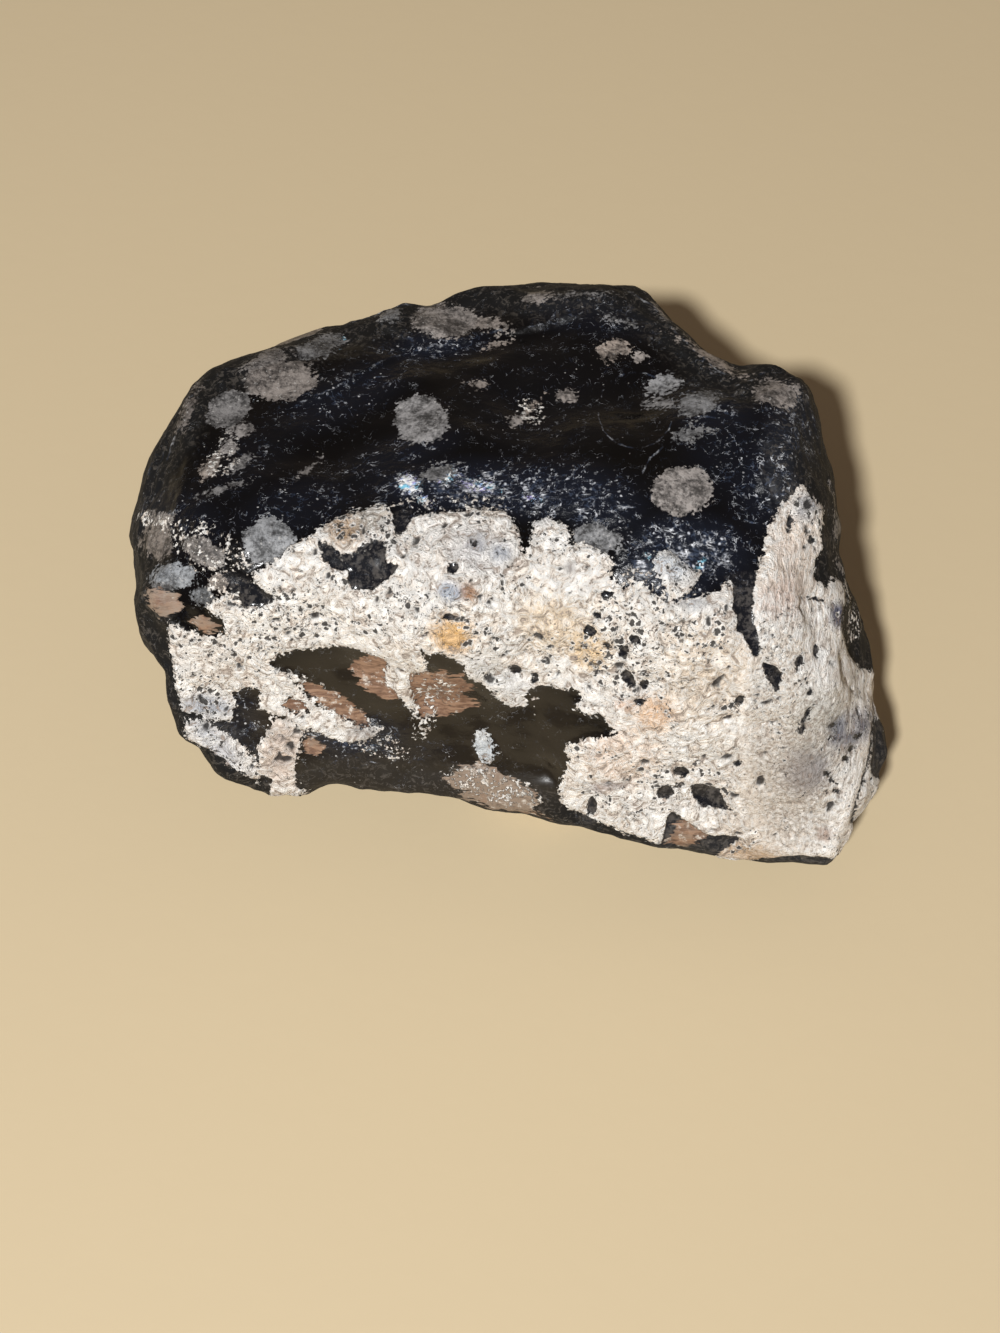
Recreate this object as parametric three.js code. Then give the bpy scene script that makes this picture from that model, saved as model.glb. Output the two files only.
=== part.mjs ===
// A hand-sized nodule of snowflake obsidian, lying as it was set down on a table.
// Millimetres, +Z up, -Y towards the viewer. The origin is under the middle of the stone, on the table.
//
// The stone is one star-shaped lump: from a point inside it, each direction meets the skin once.
// Its skin starts as a swollen disc with the stone's own outline, as seen from in front and above.
// Broad flats are then taken off it, hollows are scooped out, and low lumps and grain are added.

import * as THREE from "three";
import { ImprovedNoise } from "three/addons/math/ImprovedNoise.js";

// The line of sight that the outline below is drawn for
const SIGHT_ELEVATION = 60;
const HEART_HEIGHT = 17.5; // the point inside the stone that every direction starts from

// Swell of the disc towards the eye and away from it, and how square its rim is
const SWELL_NEAR = 22;
const SWELL_FAR = 24;
const SQUARENESS = 3.1;
const RIM_LEAN = 0.2; // the rim is nearer to the eye at the front than at the back

// The skin's facets
const ICOSAHEDRON_DETAIL = 19;
const EDGE_ROUNDING = 1.2;
const LONGEST_REACH = 45;

// The stone's outline along the line of sight: across and up, from the heart, anticlockwise
const OUTLINE = [
  [32.0, 1.4],
  [31.0, 7.2],
  [29.5, 11.8],
  [29.2, 15.8],
  [28.3, 18.6],
  [26.3, 19.6],
  [23.9, 19.6],
  [21.4, 20.6],
  [17.5, 23.0],
  [14.8, 26.3],
  [12.9, 28.4],
  [9.0, 29.8],
  [3.0, 30.6],
  [-2.2, 30.4],
  [-5.9, 29.9],
  [-8.6, 29.0],
  [-12.6, 28.0],
  [-16.3, 24.9],
  [-22.7, 23.2],
  [-27.2, 21.8],
  [-30.9, 20.5],
  [-33.6, 16.7],
  [-36.6, 11.1],
  [-38.0, 5.4],
  [-36.5, 0.4],
  [-36.4, -3.5],
  [-35.2, -7.0],
  [-33.4, -8.8],
  [-33.4, -11.4],
  [-33.2, -15.6],
  [-31.4, -18.5],
  [-27.3, -21.2],
  [-24.0, -22.1],
  [-20.2, -21.8],
  [-17.3, -20.9],
  [-13.9, -20.9],
  [-9.0, -21.7],
  [-5.0, -22.4],
  [0.8, -23.5],
  [6.7, -25.3],
  [12.8, -27.0],
  [18.9, -28.4],
  [23.6, -28.9],
  [28.3, -28.8],
  [31.7, -28.0],
  [33.0, -26.4],
  [35.0, -24.3],
  [36.6, -20.6],
  [37.8, -17.2],
  [36.7, -14.5],
  [35.9, -11.5],
  [34.9, -5.5],
  [33.2, -1.6],
];

// Broad flats: the way each faces (azimuth from +X towards +Y, elevation) and how far it is from the heart
const FLATS = [
  { name: "top", azimuth: 100, elevation: 76, distance: 18.6 },
  { name: "front face", azimuth: -96, elevation: 24, distance: 19 },
  { name: "right end", azimuth: -22, elevation: 26, distance: 34 },
  { name: "left shoulder", azimuth: 172, elevation: 38, distance: 34.5 },
  { name: "back slope", azimuth: 84, elevation: 38, distance: 32 },
  { name: "back wall", azimuth: 97, elevation: -8, distance: 31.5 },
  { name: "back left", azimuth: 140, elevation: -6, distance: 36.5 },
  { name: "back right", azimuth: 42, elevation: -10, distance: 33 },
  { name: "front underside", azimuth: -96, elevation: -42, distance: 25 },
  { name: "back underside", azimuth: 86, elevation: -46, distance: 23.5 },
  { name: "left underside", azimuth: 192, elevation: -40, distance: 28 },
  { name: "right underside", azimuth: 10, elevation: -46, distance: 28.5 },
  { name: "underside", azimuth: 0, elevation: -90, distance: 17.9 },
];

// Scooped hollows: the way to the middle of each, its radius and its depth
const HOLLOWS = [
  { name: "arch under the front", azimuth: -118, elevation: -48, radius: 14, depth: 1.8 },
  { name: "hollow underneath", azimuth: 150, elevation: -84, radius: 14, depth: 1.6 },
  { name: "saddle beside the ear", azimuth: 40, elevation: 48, radius: 9, depth: 1.7 },
  { name: "top dish", azimuth: 66, elevation: 66, radius: 9, depth: 0.9 },
  { name: "left dish", azimuth: 158, elevation: 52, radius: 11, depth: 0.8 },
  { name: "front window", azimuth: -104, elevation: -2, radius: 12, depth: 0.9 },
  { name: "left rim notch", azimuth: 196, elevation: -8, radius: 6, depth: 0.8 },
  { name: "back scoop", azimuth: 108, elevation: 10, radius: 13, depth: 1.9 },
  { name: "back corner scoop", azimuth: 58, elevation: -10, radius: 10, depth: 1.5 },
  { name: "right end chip", azimuth: 16, elevation: 2, radius: 7, depth: 1.2 },
  { name: "glassy eye low in the crust", azimuth: -50, elevation: -13, radius: 3.2, depth: 0.9 },
  { name: "step at the right edge", azimuth: -27, elevation: 20, radius: 4, depth: 0.7 },
];

// Low lumps: the way to the middle of each, its radius and its height
const LUMPS = [
  { name: "ear", azimuth: 18, elevation: 44, radius: 7, height: 0.9 },
  { name: "crust brow", azimuth: -112, elevation: 40, radius: 11, height: 0.9 },
  { name: "crust belly", azimuth: -62, elevation: 14, radius: 11, height: 0.9 },
  { name: "left foot", azimuth: -141, elevation: -24, radius: 8, height: 1.0 },
  { name: "back knuckle", azimuth: 128, elevation: 12, radius: 8, height: 1.0 },
];

// Where the pale crust lies: the way to the middle of each patch, and its radius
const CRUST_PATCHES = [
  { azimuth: -146, elevation: 12, radius: 14 },
  { azimuth: -112, elevation: 34, radius: 13 },
  { azimuth: -78, elevation: 28, radius: 13 },
  { azimuth: -52, elevation: 12, radius: 15 },
  { azimuth: -36, elevation: -8, radius: 15 },
  { azimuth: -22, elevation: 26, radius: 12 },
];

// Pits left in the crust by gas bubbles, and shell-shaped knocks in the bare glass
const PITS = { seed: 11, count: 150, radius: [1.5, 2.6], depth: [0.2, 0.55] };
const KNOCKS = { seed: 5, count: 60, radius: [3.5, 7], depth: [0.25, 0.6] };

// Grain of the skin: wavelength and height, from broad swells to small knocks
const GRAIN = [
  { wavelength: 17, height: 0.7 },
  { wavelength: 7.5, height: 0.34 },
  { wavelength: 3.6, height: 0.16 },
];

const radians = THREE.MathUtils.degToRad;
const ACROSS = new THREE.Vector3(1, 0, 0);
const UP_THE_VIEW = new THREE.Vector3(0, Math.sin(radians(SIGHT_ELEVATION)), Math.cos(radians(SIGHT_ELEVATION)));
const TO_THE_EYE = new THREE.Vector3().crossVectors(ACROSS, UP_THE_VIEW);

function facing({ azimuth, elevation }) {
  const level = Math.cos(radians(elevation));
  return new THREE.Vector3(
    level * Math.cos(radians(azimuth)),
    level * Math.sin(radians(azimuth)),
    Math.sin(radians(elevation)),
  );
}

// The outline's reach at each whole degree around the line of sight
function outlineReach() {
  const corners = OUTLINE.map(([across, up]) => new THREE.Vector3(across, up, 0));
  const curve = new THREE.CatmullRomCurve3(corners, true, "centripetal");
  const points = curve.getSpacedPoints(1440);
  const reach = new Array(360).fill(0);
  const nearest = new Array(360).fill(Infinity);
  for (const p of points) {
    const angle = THREE.MathUtils.radToDeg(Math.atan2(p.y, p.x));
    const slot = (Math.round(angle) + 360) % 360;
    const miss = Math.abs(angle - Math.round(angle));
    if (miss < nearest[slot]) {
      nearest[slot] = miss;
      reach[slot] = Math.hypot(p.x, p.y);
    }
  }
  return reach;
}

const REACH = outlineReach();

function reachAt(angle) {
  const turn = (THREE.MathUtils.radToDeg(angle) + 360) % 360;
  const low = Math.floor(turn) % 360;
  return THREE.MathUtils.lerp(REACH[low], REACH[(low + 1) % 360], turn - Math.floor(turn));
}

// How far the swollen disc reaches in a direction
function discReach(direction) {
  const across = direction.dot(ACROSS);
  const up = direction.dot(UP_THE_VIEW);
  const near = direction.dot(TO_THE_EYE) + RIM_LEAN * up;
  const rim = Math.hypot(across, up) / reachAt(Math.atan2(up, across));
  const swell = Math.abs(near) / (near > 0 ? SWELL_NEAR : SWELL_FAR);
  return (rim ** SQUARENESS + swell ** SQUARENESS) ** (-1 / SQUARENESS);
}

// The smaller of two reaches, with the edge between them rounded off
function roundedMin(a, b) {
  const overlap = Math.max(0, 1 - Math.abs(a - b) / (4 * EDGE_ROUNDING));
  return Math.min(a, b) - EDGE_ROUNDING * overlap * overlap;
}

function bodyReach(direction) {
  let reach = discReach(direction);
  for (const flat of FLATS) {
    const slant = direction.dot(facing(flat));
    if (slant > 0.05) reach = roundedMin(reach, flat.distance / slant);
  }
  return reach;
}

const onSkin = (way) => way.clone().multiplyScalar(bodyReach(way));
const crustMiddles = CRUST_PATCHES.map((patch) => ({ middle: onSkin(facing(patch)), radius: patch.radius }));

// 1 well inside the crust, 0 on bare glass
function crustAt(point) {
  const inside = crustMiddles.map(({ middle, radius }) => 1 - point.distanceTo(middle) / radius);
  return THREE.MathUtils.clamp(4 * Math.max(...inside), 0, 1);
}

// Numbers from 0 to 1 that are the same on every run
function seededRandom(seed) {
  let state = seed;
  return () => {
    state = (Math.imul(state, 1664525) + 1013904223) >>> 0;
    return state / 2 ** 32;
  };
}

// Small hollows strewn over the crust or over the glass
function strewn({ seed, count, radius, depth }, onCrust) {
  const random = seededRandom(seed);
  const made = [];
  while (made.length < count) {
    const height = 2 * random() - 1;
    const turn = 2 * Math.PI * random();
    const level = Math.sqrt(1 - height * height);
    const middle = onSkin(new THREE.Vector3(level * Math.cos(turn), level * Math.sin(turn), height));
    const size = random();
    const deep = random();
    // A far stretch of skin has fewer directions to a square millimetre, so a near one is passed over more often
    if (random() > (middle.length() / LONGEST_REACH) ** 2 || crustAt(middle) > 0.5 !== onCrust) continue;
    made.push({
      middle,
      radius: THREE.MathUtils.lerp(...radius, size),
      rise: -THREE.MathUtils.lerp(...depth, deep),
    });
  }
  return made;
}

const dents = [
  ...HOLLOWS.map((h) => ({ middle: onSkin(facing(h)), radius: h.radius, rise: -h.depth })),
  ...LUMPS.map((l) => ({ middle: onSkin(facing(l)), radius: l.radius, rise: l.height })),
  ...strewn(PITS, true),
  ...strewn(KNOCKS, false),
];

const noise = new ImprovedNoise();

// The point of the stone's skin in a direction, from the heart
function skinPoint(direction) {
  const point = direction.clone().multiplyScalar(bodyReach(direction));
  let rise = 0;
  for (const dent of dents) {
    const far = point.distanceTo(dent.middle) / dent.radius;
    if (far < 1) rise += dent.rise * (1 - far * far) ** 2;
  }
  for (const { wavelength, height } of GRAIN) {
    const at = point.clone().divideScalar(wavelength);
    rise += 2 * height * noise.noise(at.x + 3.7, at.y + 8.2, at.z + 5.1);
  }
  return point.addScaledVector(direction, rise);
}

function stoneGeometry() {
  const geometry = new THREE.IcosahedronGeometry(1, ICOSAHEDRON_DETAIL);
  geometry.deleteAttribute("normal");
  geometry.deleteAttribute("uv");
  const place = geometry.getAttribute("position");
  for (let i = 0; i < place.count; i++) {
    const direction = new THREE.Vector3().fromBufferAttribute(place, i).normalize();
    const point = skinPoint(direction);
    // The worn foot: the skin stops at the table, along the same direction
    if (point.z < -HEART_HEIGHT) point.multiplyScalar(-HEART_HEIGHT / point.z);
    place.setXYZ(i, point.x, point.y, point.z);
  }
  geometry.computeBoundingBox();
  const middle = geometry.boundingBox.getCenter(new THREE.Vector3());
  geometry.translate(-middle.x, -middle.y, HEART_HEIGHT);
  geometry.computeVertexNormals();
  return geometry;
}

const stone = new THREE.Mesh(
  stoneGeometry(),
  new THREE.MeshStandardMaterial({ color: 0x2a2826, roughness: 0.45, metalness: 0 }),
);
stone.name = "stone";

const specimen = new THREE.Group();
specimen.add(stone);

export default specimen;
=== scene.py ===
"""A block of snowflake obsidian with a pale pitted crust, on a plain pale floor."""

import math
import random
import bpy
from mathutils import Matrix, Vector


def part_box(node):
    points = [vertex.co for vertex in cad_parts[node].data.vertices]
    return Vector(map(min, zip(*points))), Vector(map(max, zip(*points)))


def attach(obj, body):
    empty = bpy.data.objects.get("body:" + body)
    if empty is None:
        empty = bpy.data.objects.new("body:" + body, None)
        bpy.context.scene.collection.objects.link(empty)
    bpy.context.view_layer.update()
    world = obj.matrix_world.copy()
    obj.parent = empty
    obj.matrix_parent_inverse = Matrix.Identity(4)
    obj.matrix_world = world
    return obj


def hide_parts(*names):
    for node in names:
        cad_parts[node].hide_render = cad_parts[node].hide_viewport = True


bl_info = {
    "name": "Snowflake obsidian",
    "version": (1, 0, 0),
    "blender": (4, 5, 0),
    "location": "View3D > Sidebar > Obsidian",
    "description": "A block of snowflake obsidian with a pale pitted crust, and a plain stage for it",
    "category": "Add Mesh",
}

import bmesh
import bpy
import numpy as np
from bpy.props import FloatProperty, FloatVectorProperty, IntProperty, PointerProperty
from bpy.types import Operator, Panel, PropertyGroup
from mathutils import Vector, kdtree, noise

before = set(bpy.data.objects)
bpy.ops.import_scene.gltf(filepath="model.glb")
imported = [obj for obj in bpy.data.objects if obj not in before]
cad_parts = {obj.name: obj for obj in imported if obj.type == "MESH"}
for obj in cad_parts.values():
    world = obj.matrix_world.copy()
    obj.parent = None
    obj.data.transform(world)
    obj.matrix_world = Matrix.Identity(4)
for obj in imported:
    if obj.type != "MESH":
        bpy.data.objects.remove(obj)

MM = 0.001
CAD_NODE = "stone"
STONE_BODY = "root"

# The photograph's frame in pixels, and its scale at the stone
PHOTO_WIDTH = 1000
PHOTO_HEIGHT = 1333
PIXELS_PER_MM = 10.2

# Outlines of the pale crust, as corners in the photograph's pixels
CRUST_OUTLINES = {
    "broad crust across the front": [
        (168, 622), (178, 624), (190, 630), (208, 636), (226, 634), (222, 616), (206, 607), (222, 594),
        (232, 590), (246, 603), (262, 606), (276, 598), (262, 588), (250, 574), (264, 566), (278, 558),
        (296, 544), (312, 534), (326, 524), (346, 514), (362, 513), (378, 504), (390, 510), (397, 534),
        (405, 532), (410, 518), (440, 512), (472, 510), (505, 512), (516, 525), (524, 552), (531, 538),
        (529, 523), (546, 517), (568, 526), (572, 536), (566, 546), (582, 542), (612, 556), (612, 568),
        (608, 578), (624, 590), (636, 580), (643, 578), (650, 592), (664, 601), (682, 599), (702, 596),
        (718, 590), (731, 580), (740, 612), (748, 640), (757, 655), (756, 630), (751, 608), (753, 588),
        (757, 572), (764, 544), (768, 526), (778, 506), (790, 497), (802, 484), (813, 500), (823, 508),
        (819, 530), (823, 548), (816, 560), (813, 577), (825, 588), (832, 578), (842, 581), (845, 602),
        (839, 620), (842, 636), (848, 654), (858, 669), (872, 670), (890, 700), (892, 760), (880, 800),
        (868, 830), (852, 860), (836, 880), (780, 880), (740, 880), (716, 872), (700, 862), (660, 843),
        (640, 837), (620, 830), (594, 818), (582, 812), (569, 809), (559, 799), (558, 786), (564, 773),
        (571, 758), (564, 750), (569, 742), (585, 737), (605, 736), (616, 731), (604, 716), (588, 714),
        (573, 708), (575, 702), (585, 697), (572, 688), (564, 690), (550, 685), (536, 685), (527, 694),
        (539, 697), (524, 705), (513, 707), (496, 697), (488, 689), (467, 676), (464, 665), (450, 657),
        (442, 652), (426, 653), (419, 644), (424, 657), (429, 668), (424, 671), (410, 672), (414, 700),
        (424, 724), (407, 706), (398, 694), (384, 680), (388, 660), (369, 652), (353, 648), (335, 645),
        (319, 647), (296, 649), (281, 653), (271, 662), (284, 670), (304, 676), (322, 686), (345, 702),
        (363, 715), (383, 729), (373, 738), (347, 743), (322, 734), (302, 729), (290, 722), (284, 716),
        (276, 714), (260, 708), (260, 690), (246, 688), (232, 692), (237, 706), (231, 722), (214, 720),
        (200, 714), (184, 712), (177, 690), (172, 660),
    ],
    "cream patch low on the left": [
        (268, 727), (273, 717), (286, 718), (302, 730), (303, 745), (294, 773), (296, 783), (309, 790),
        (290, 800), (271, 798), (271, 778), (256, 774), (258, 747),
    ],
    "bluish strip low on the left": [
        (183, 722), (192, 717), (206, 721), (222, 729), (240, 743), (256, 758), (262, 772), (258, 782),
        (247, 776), (232, 765), (216, 753), (200, 745), (188, 738),
    ],
    "crusty patch in the glass": [
        (653, 553), (668, 552), (682, 560), (694, 572), (702, 570), (697, 582), (686, 596), (672, 600),
        (664, 586), (656, 574),
    ],
    "white piece in the low window": [
        (476, 726), (484, 728), (489, 738), (497, 747), (497, 756), (488, 764), (478, 756), (474, 742),
    ],
}

# Bare glass inside the crust, as corners in the photograph's pixels
BARE_OUTLINES = {
    "window near the upper edge": [
        (318, 540), (332, 545), (342, 554), (354, 553), (364, 543), (384, 540), (386, 553), (387, 563),
        (400, 565), (390, 576), (375, 588), (354, 590), (348, 580), (350, 570), (336, 569), (322, 560),
    ],
    "crease beside the right end": [
        (731, 578), (744, 580), (753, 576), (750, 592), (753, 602), (749, 611), (757, 633), (760, 653),
        (755, 657), (748, 645), (743, 635), (736, 630), (738, 618), (732, 608), (734, 595),
    ],
    "hole in the right end": [
        (762, 662), (773, 664), (782, 674), (780, 684), (775, 693), (770, 681), (765, 674),
    ],
    "chip on the right edge": [
        (873, 722), (879, 718), (886, 730), (896, 750), (888, 764), (880, 779), (870, 774), (868, 762),
        (872, 746),
    ],
    "big eye low in the crust": [
        (690, 784), (702, 783), (720, 788), (725, 802), (735, 811), (721, 808), (703, 805), (693, 796),
    ],
    "crack inside the right edge": [
        (872, 716), (869, 740), (863, 770), (856, 795), (849, 822), (851, 823), (858, 796), (865, 771),
        (871, 741), (874, 717),
    ],
    "lens at the bottom edge": [
        (662, 840), (667, 816), (673, 810), (680, 816), (708, 834), (726, 834), (742, 838), (724, 848),
        (712, 857), (688, 853), (662, 846),
    ],
}

# Small bare spots and pits: across, down, half width, half height, and the turn towards the picture's bottom
BARE_SPOTS = {
    "notch in the upper edge": (400, 528, 4.1, 8.2, 20),
    "tongue beside the left flake": (252, 592, 13.9, 4.1, 28),
    "point under the tongue": (246, 604, 4.1, 4.1, 0),
    "end of the tongue": (268, 597, 5.7, 4.1, 10),
    "eye beside the big one": (665, 791, 8.2, 6.6, -20),
    "eye above the big one": (681, 771, 8.2, 4.9, 15),
    "bead between the eyes": (679, 784, 4.9, 2.5, 0),
    "upright blob by the low window": (592, 805, 4.9, 9.8, 10),
    "pit in the right end": (798, 662, 3.3, 8.2, 15),
    "hook left of the tip": (789, 523, 2.5, 11, 8),
    "hook right of the tip": (811, 541, 4.5, 3, 35),
    "upper pit in the right end": (816, 651, 3.3, 6.6, 0),
    "long pit in the middle": (590, 630, 7.4, 4.9, 35),
    "round pit in the middle": (635, 639, 4.9, 4.1, 0),
    "pit left of it": (598, 615, 3.3, 4.1, 0),
    "pit below it": (624, 650, 4.9, 5.7, 0),
    "brown pit": (629, 678, 4.9, 9, -25),
    "pit right of the brown one": (644, 683, 4.1, 4.9, 30),
    "pit on the crack": (639, 701, 5.7, 3.3, 15),
    "first fine pit": (607, 645, 2.5, 4.1, -30),
    "second fine pit": (607, 594, 5.7, 3.3, 10),
    "pit by the upper edge": (449, 617, 6.6, 3.3, 10),
    "pit near the blob": (516, 669, 7.4, 4.1, 25),
    "bead near the blob": (535, 677, 3.3, 4.9, 0),
    "left pit by the grey ring": (453, 568, 4.9, 5.7, 0),
    "hollow in the grey ring": (474, 544, 4.1, 3.3, 0),
    "pair at the right": (739, 700, 3.3, 5.7, 30),
    "pair at the lower right": (738, 762, 4.9, 2.5, -20),
    "scratch in the right end": (806, 716, 2.5, 12.3, 30),
    "foot of the scratch": (801, 729, 3, 5, 30),
    "upper curl above the scratch": (806, 682, 2, 4.5, -20),
    "lower curl above the scratch": (809, 692, 2.5, 3.5, 25),
    "pits by the purple patch": (856, 736, 5, 2.5, -10),
    "pit under them": (850, 748, 4, 2.5, -20),
    "next pit under them": (844, 758, 3.5, 2.5, 10),
    "left pits of the purple patch": (831, 725, 4, 2.2, -25),
    "lower left pits of the purple patch": (830, 738, 3.5, 2.2, 20),
    "dark seam above the right edge": (812, 599, 9.8, 1.6, 8),
    "crumbs at the right": (831, 780, 6, 2.5, 45),
    "crumb above them": (825, 773, 2.5, 2.5, 0),
    "crumbs under them": (836, 791, 3.5, 2, 20),
    "crumb beside them": (826, 791, 2.5, 2, 0),
    "dark ledge under the bottom corner": (794, 862, 52, 6.5, -2),
}

# Grey snowflakes: a spot as above, then how warm and how light each is, from 0 to 1
SNOWFLAKES = {
    "left half of the broad flake": (229, 409, 24, 17, -25, 0.35, 0.45),
    "right half of the broad flake": (281, 380, 37, 21, -8, 0.75, 0.45),
    "top of the broad flake": (268, 360, 24, 9, -18, 0.6, 0.4),
    "first crumb of the trail": (242, 430, 11, 8, -20, 0.5, 0.65),
    "second crumb of the trail": (229, 447, 10, 9, 0, 0.5, 0.8),
    "third crumb of the trail": (212, 465, 7, 13, 40, 0.9, 0.85),
    "streaks beside the trail": (240, 463, 14, 6, -25, 0.3, 0.45),
    "flake on the upper left rim": (319, 347, 24, 9, -24, 0.2, 0.45),
    "small flake on the rim": (391, 316, 11, 8, -10, 0.2, 0.45),
    "long flake near the top": (446, 321, 34, 17, 4, 0.65, 0.6),
    "tail of the long flake": (486, 324, 22, 6, 12, 0.8, 0.6),
    "round flake": (421, 419, 27, 24, 10, 0.3, 0.7),
    "sliver right of the round flake": (479, 384, 9, 3, 5, 0.8, 0.6),
    "grey patch by the bright spot": (438, 472, 18, 8, -18, 0.2, 0.55),
    "flake at the left of the crust": (269, 542, 27, 24, 0, 0.1, 0.7),
    "flake at the very top": (539, 295, 14, 6, 0, 0.7, 0.5),
    "streak along the top": (586, 295, 22, 1.5, 0, 0.3, 0.4),
    "pink fleck": (499, 341, 9, 3.5, -15, 0.9, 0.7),
    "cream fleck": (612, 350, 17, 10, -10, 1.0, 0.75),
    "cream crumb": (641, 357, 8, 5, 0, 0.7, 0.7),
    "streaky flake": (662, 385, 16, 9, -10, 0.2, 0.7),
    "lower half of the streaky flake": (661, 402, 14, 6, 5, 0.3, 0.6),
    "flake right of the streaky one": (698, 404, 20, 12, -20, 0.15, 0.6),
    "flake on the ear": (776, 393, 24, 14, 12, 0.7, 0.6),
    "big warm flake": (682, 491, 30, 25, 0, 0.6, 0.76),
    "white crumb": (517, 421, 8, 5, 0, 0.6, 0.85),
    "orange scratch": (531, 408, 4, 12, 35, 1.0, 0.6),
    "fleck left of the moon": (568, 397, 9, 6, 0, 0.7, 0.7),
    "flake at the crust's upper edge": (597, 540, 23, 15, 15, 0.15, 0.6),
    "ring below the moon": (694, 433, 17, 6, -12, 0.2, 0.4),
    "crumbs near the top": (622, 322, 14, 4, 15, 0.2, 0.45),
    "brownish flake at the left edge": (158, 540, 15, 19, 0, 0.85, 0.4),
    "blue flake at the left edge": (172, 577, 22, 13, -8, 0.0, 0.72),
    "bluish patch beside it": (204, 597, 12, 8, 20, 0.0, 0.6),
    "cream crumb beside it": (219, 582, 9, 9, 0, 0.9, 0.8),
    "upper speckles at the left": (160, 518, 15, 6, 15, 0.6, 0.6),
    "lower speckles at the left": (205, 552, 24, 14, 30, 0.6, 0.55),
    "thin streak on the left glass": (310, 468, 3, 13, 50, 0.5, 0.6),
    "low streak on the left glass": (222, 489, 14, 3, -18, 0.3, 0.4),
    "grey rim at the far left": (187, 408, 4, 24, 22, 0.8, 0.25),
    # The next three rows are thin pale lines along broken edges of the glass: painted highlights laid in the
    # snowflakes' grey
    "painted highlight on the saddle's edge": (711, 356, 33, 5, 31, 0.9, 0.62),
    "painted highlight on the shoulder's edge": (664, 313, 18, 3, 50, 0.6, 0.5),
    "painted highlight on the right rim": (838, 520, 3, 40, -3, 0.6, 0.45),
}

# Brown flakes: how light and how rusty each is, and its corners in the photograph's pixels
BROWN_FLAKES = {
    "left half of the pair": (0.5, 0.9, [
        (349, 671), (354, 662), (364, 657), (384, 653), (391, 662), (387, 676), (398, 690), (402, 700),
        (384, 700), (368, 690), (358, 684), (362, 678),
    ]),
    "star of the pair": (0.5, 0.6, [
        (404, 668), (418, 676), (424, 669), (432, 674), (442, 670), (450, 676), (462, 676), (464, 682),
        (476, 689), (465, 694), (470, 699), (481, 703), (464, 706), (462, 712), (450, 714), (447, 717),
        (434, 714), (422, 716), (418, 703), (406, 698), (394, 690), (400, 682),
    ]),
    "long flake on the ridge": (0.6, 0.8, [
        (296, 680), (309, 680), (332, 689), (348, 700), (364, 714), (371, 726), (356, 724), (338, 715),
        (319, 703), (304, 690),
    ]),
    "small flake under the ridge": (0.45, 1.0, [
        (283, 704), (292, 697), (306, 702), (308, 709), (296, 712),
    ]),
    "small flake by the cream patch": (0.5, 0.45, [
        (303, 741), (308, 735), (318, 738), (326, 745), (320, 753), (305, 752),
    ]),
    "star at the lower edge": (0.6, 0.2, [
        (443, 778), (455, 772), (462, 766), (472, 767), (482, 762), (496, 766), (500, 774), (518, 780),
        (536, 790), (541, 804), (528, 812), (508, 810), (498, 809), (488, 806), (470, 800), (458, 796),
        (472, 791), (452, 787),
    ]),
    "spikes under the star": (0.6, 0.5, [
        (512, 806), (530, 812), (552, 819), (536, 821), (520, 817),
    ]),
    "flake at the left edge": (0.4, 0.3, [
        (148, 590), (160, 588), (178, 596), (184, 604), (176, 612), (160, 618), (150, 606),
    ]),
    "lens in the left crust": (0.45, 0.35, [
        (190, 618), (200, 616), (214, 622), (222, 630), (206, 632), (194, 626),
    ]),
    "flake in the bottom lens": (0.6, 0.45, [
        (664, 842), (676, 824), (688, 819), (700, 826), (710, 834), (698, 842), (680, 848),
    ]),
}

# The brown flakes that the crust leaves bare
FLAKES_IN_CRUST = ("long flake on the ridge", "small flake under the ridge")

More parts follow.
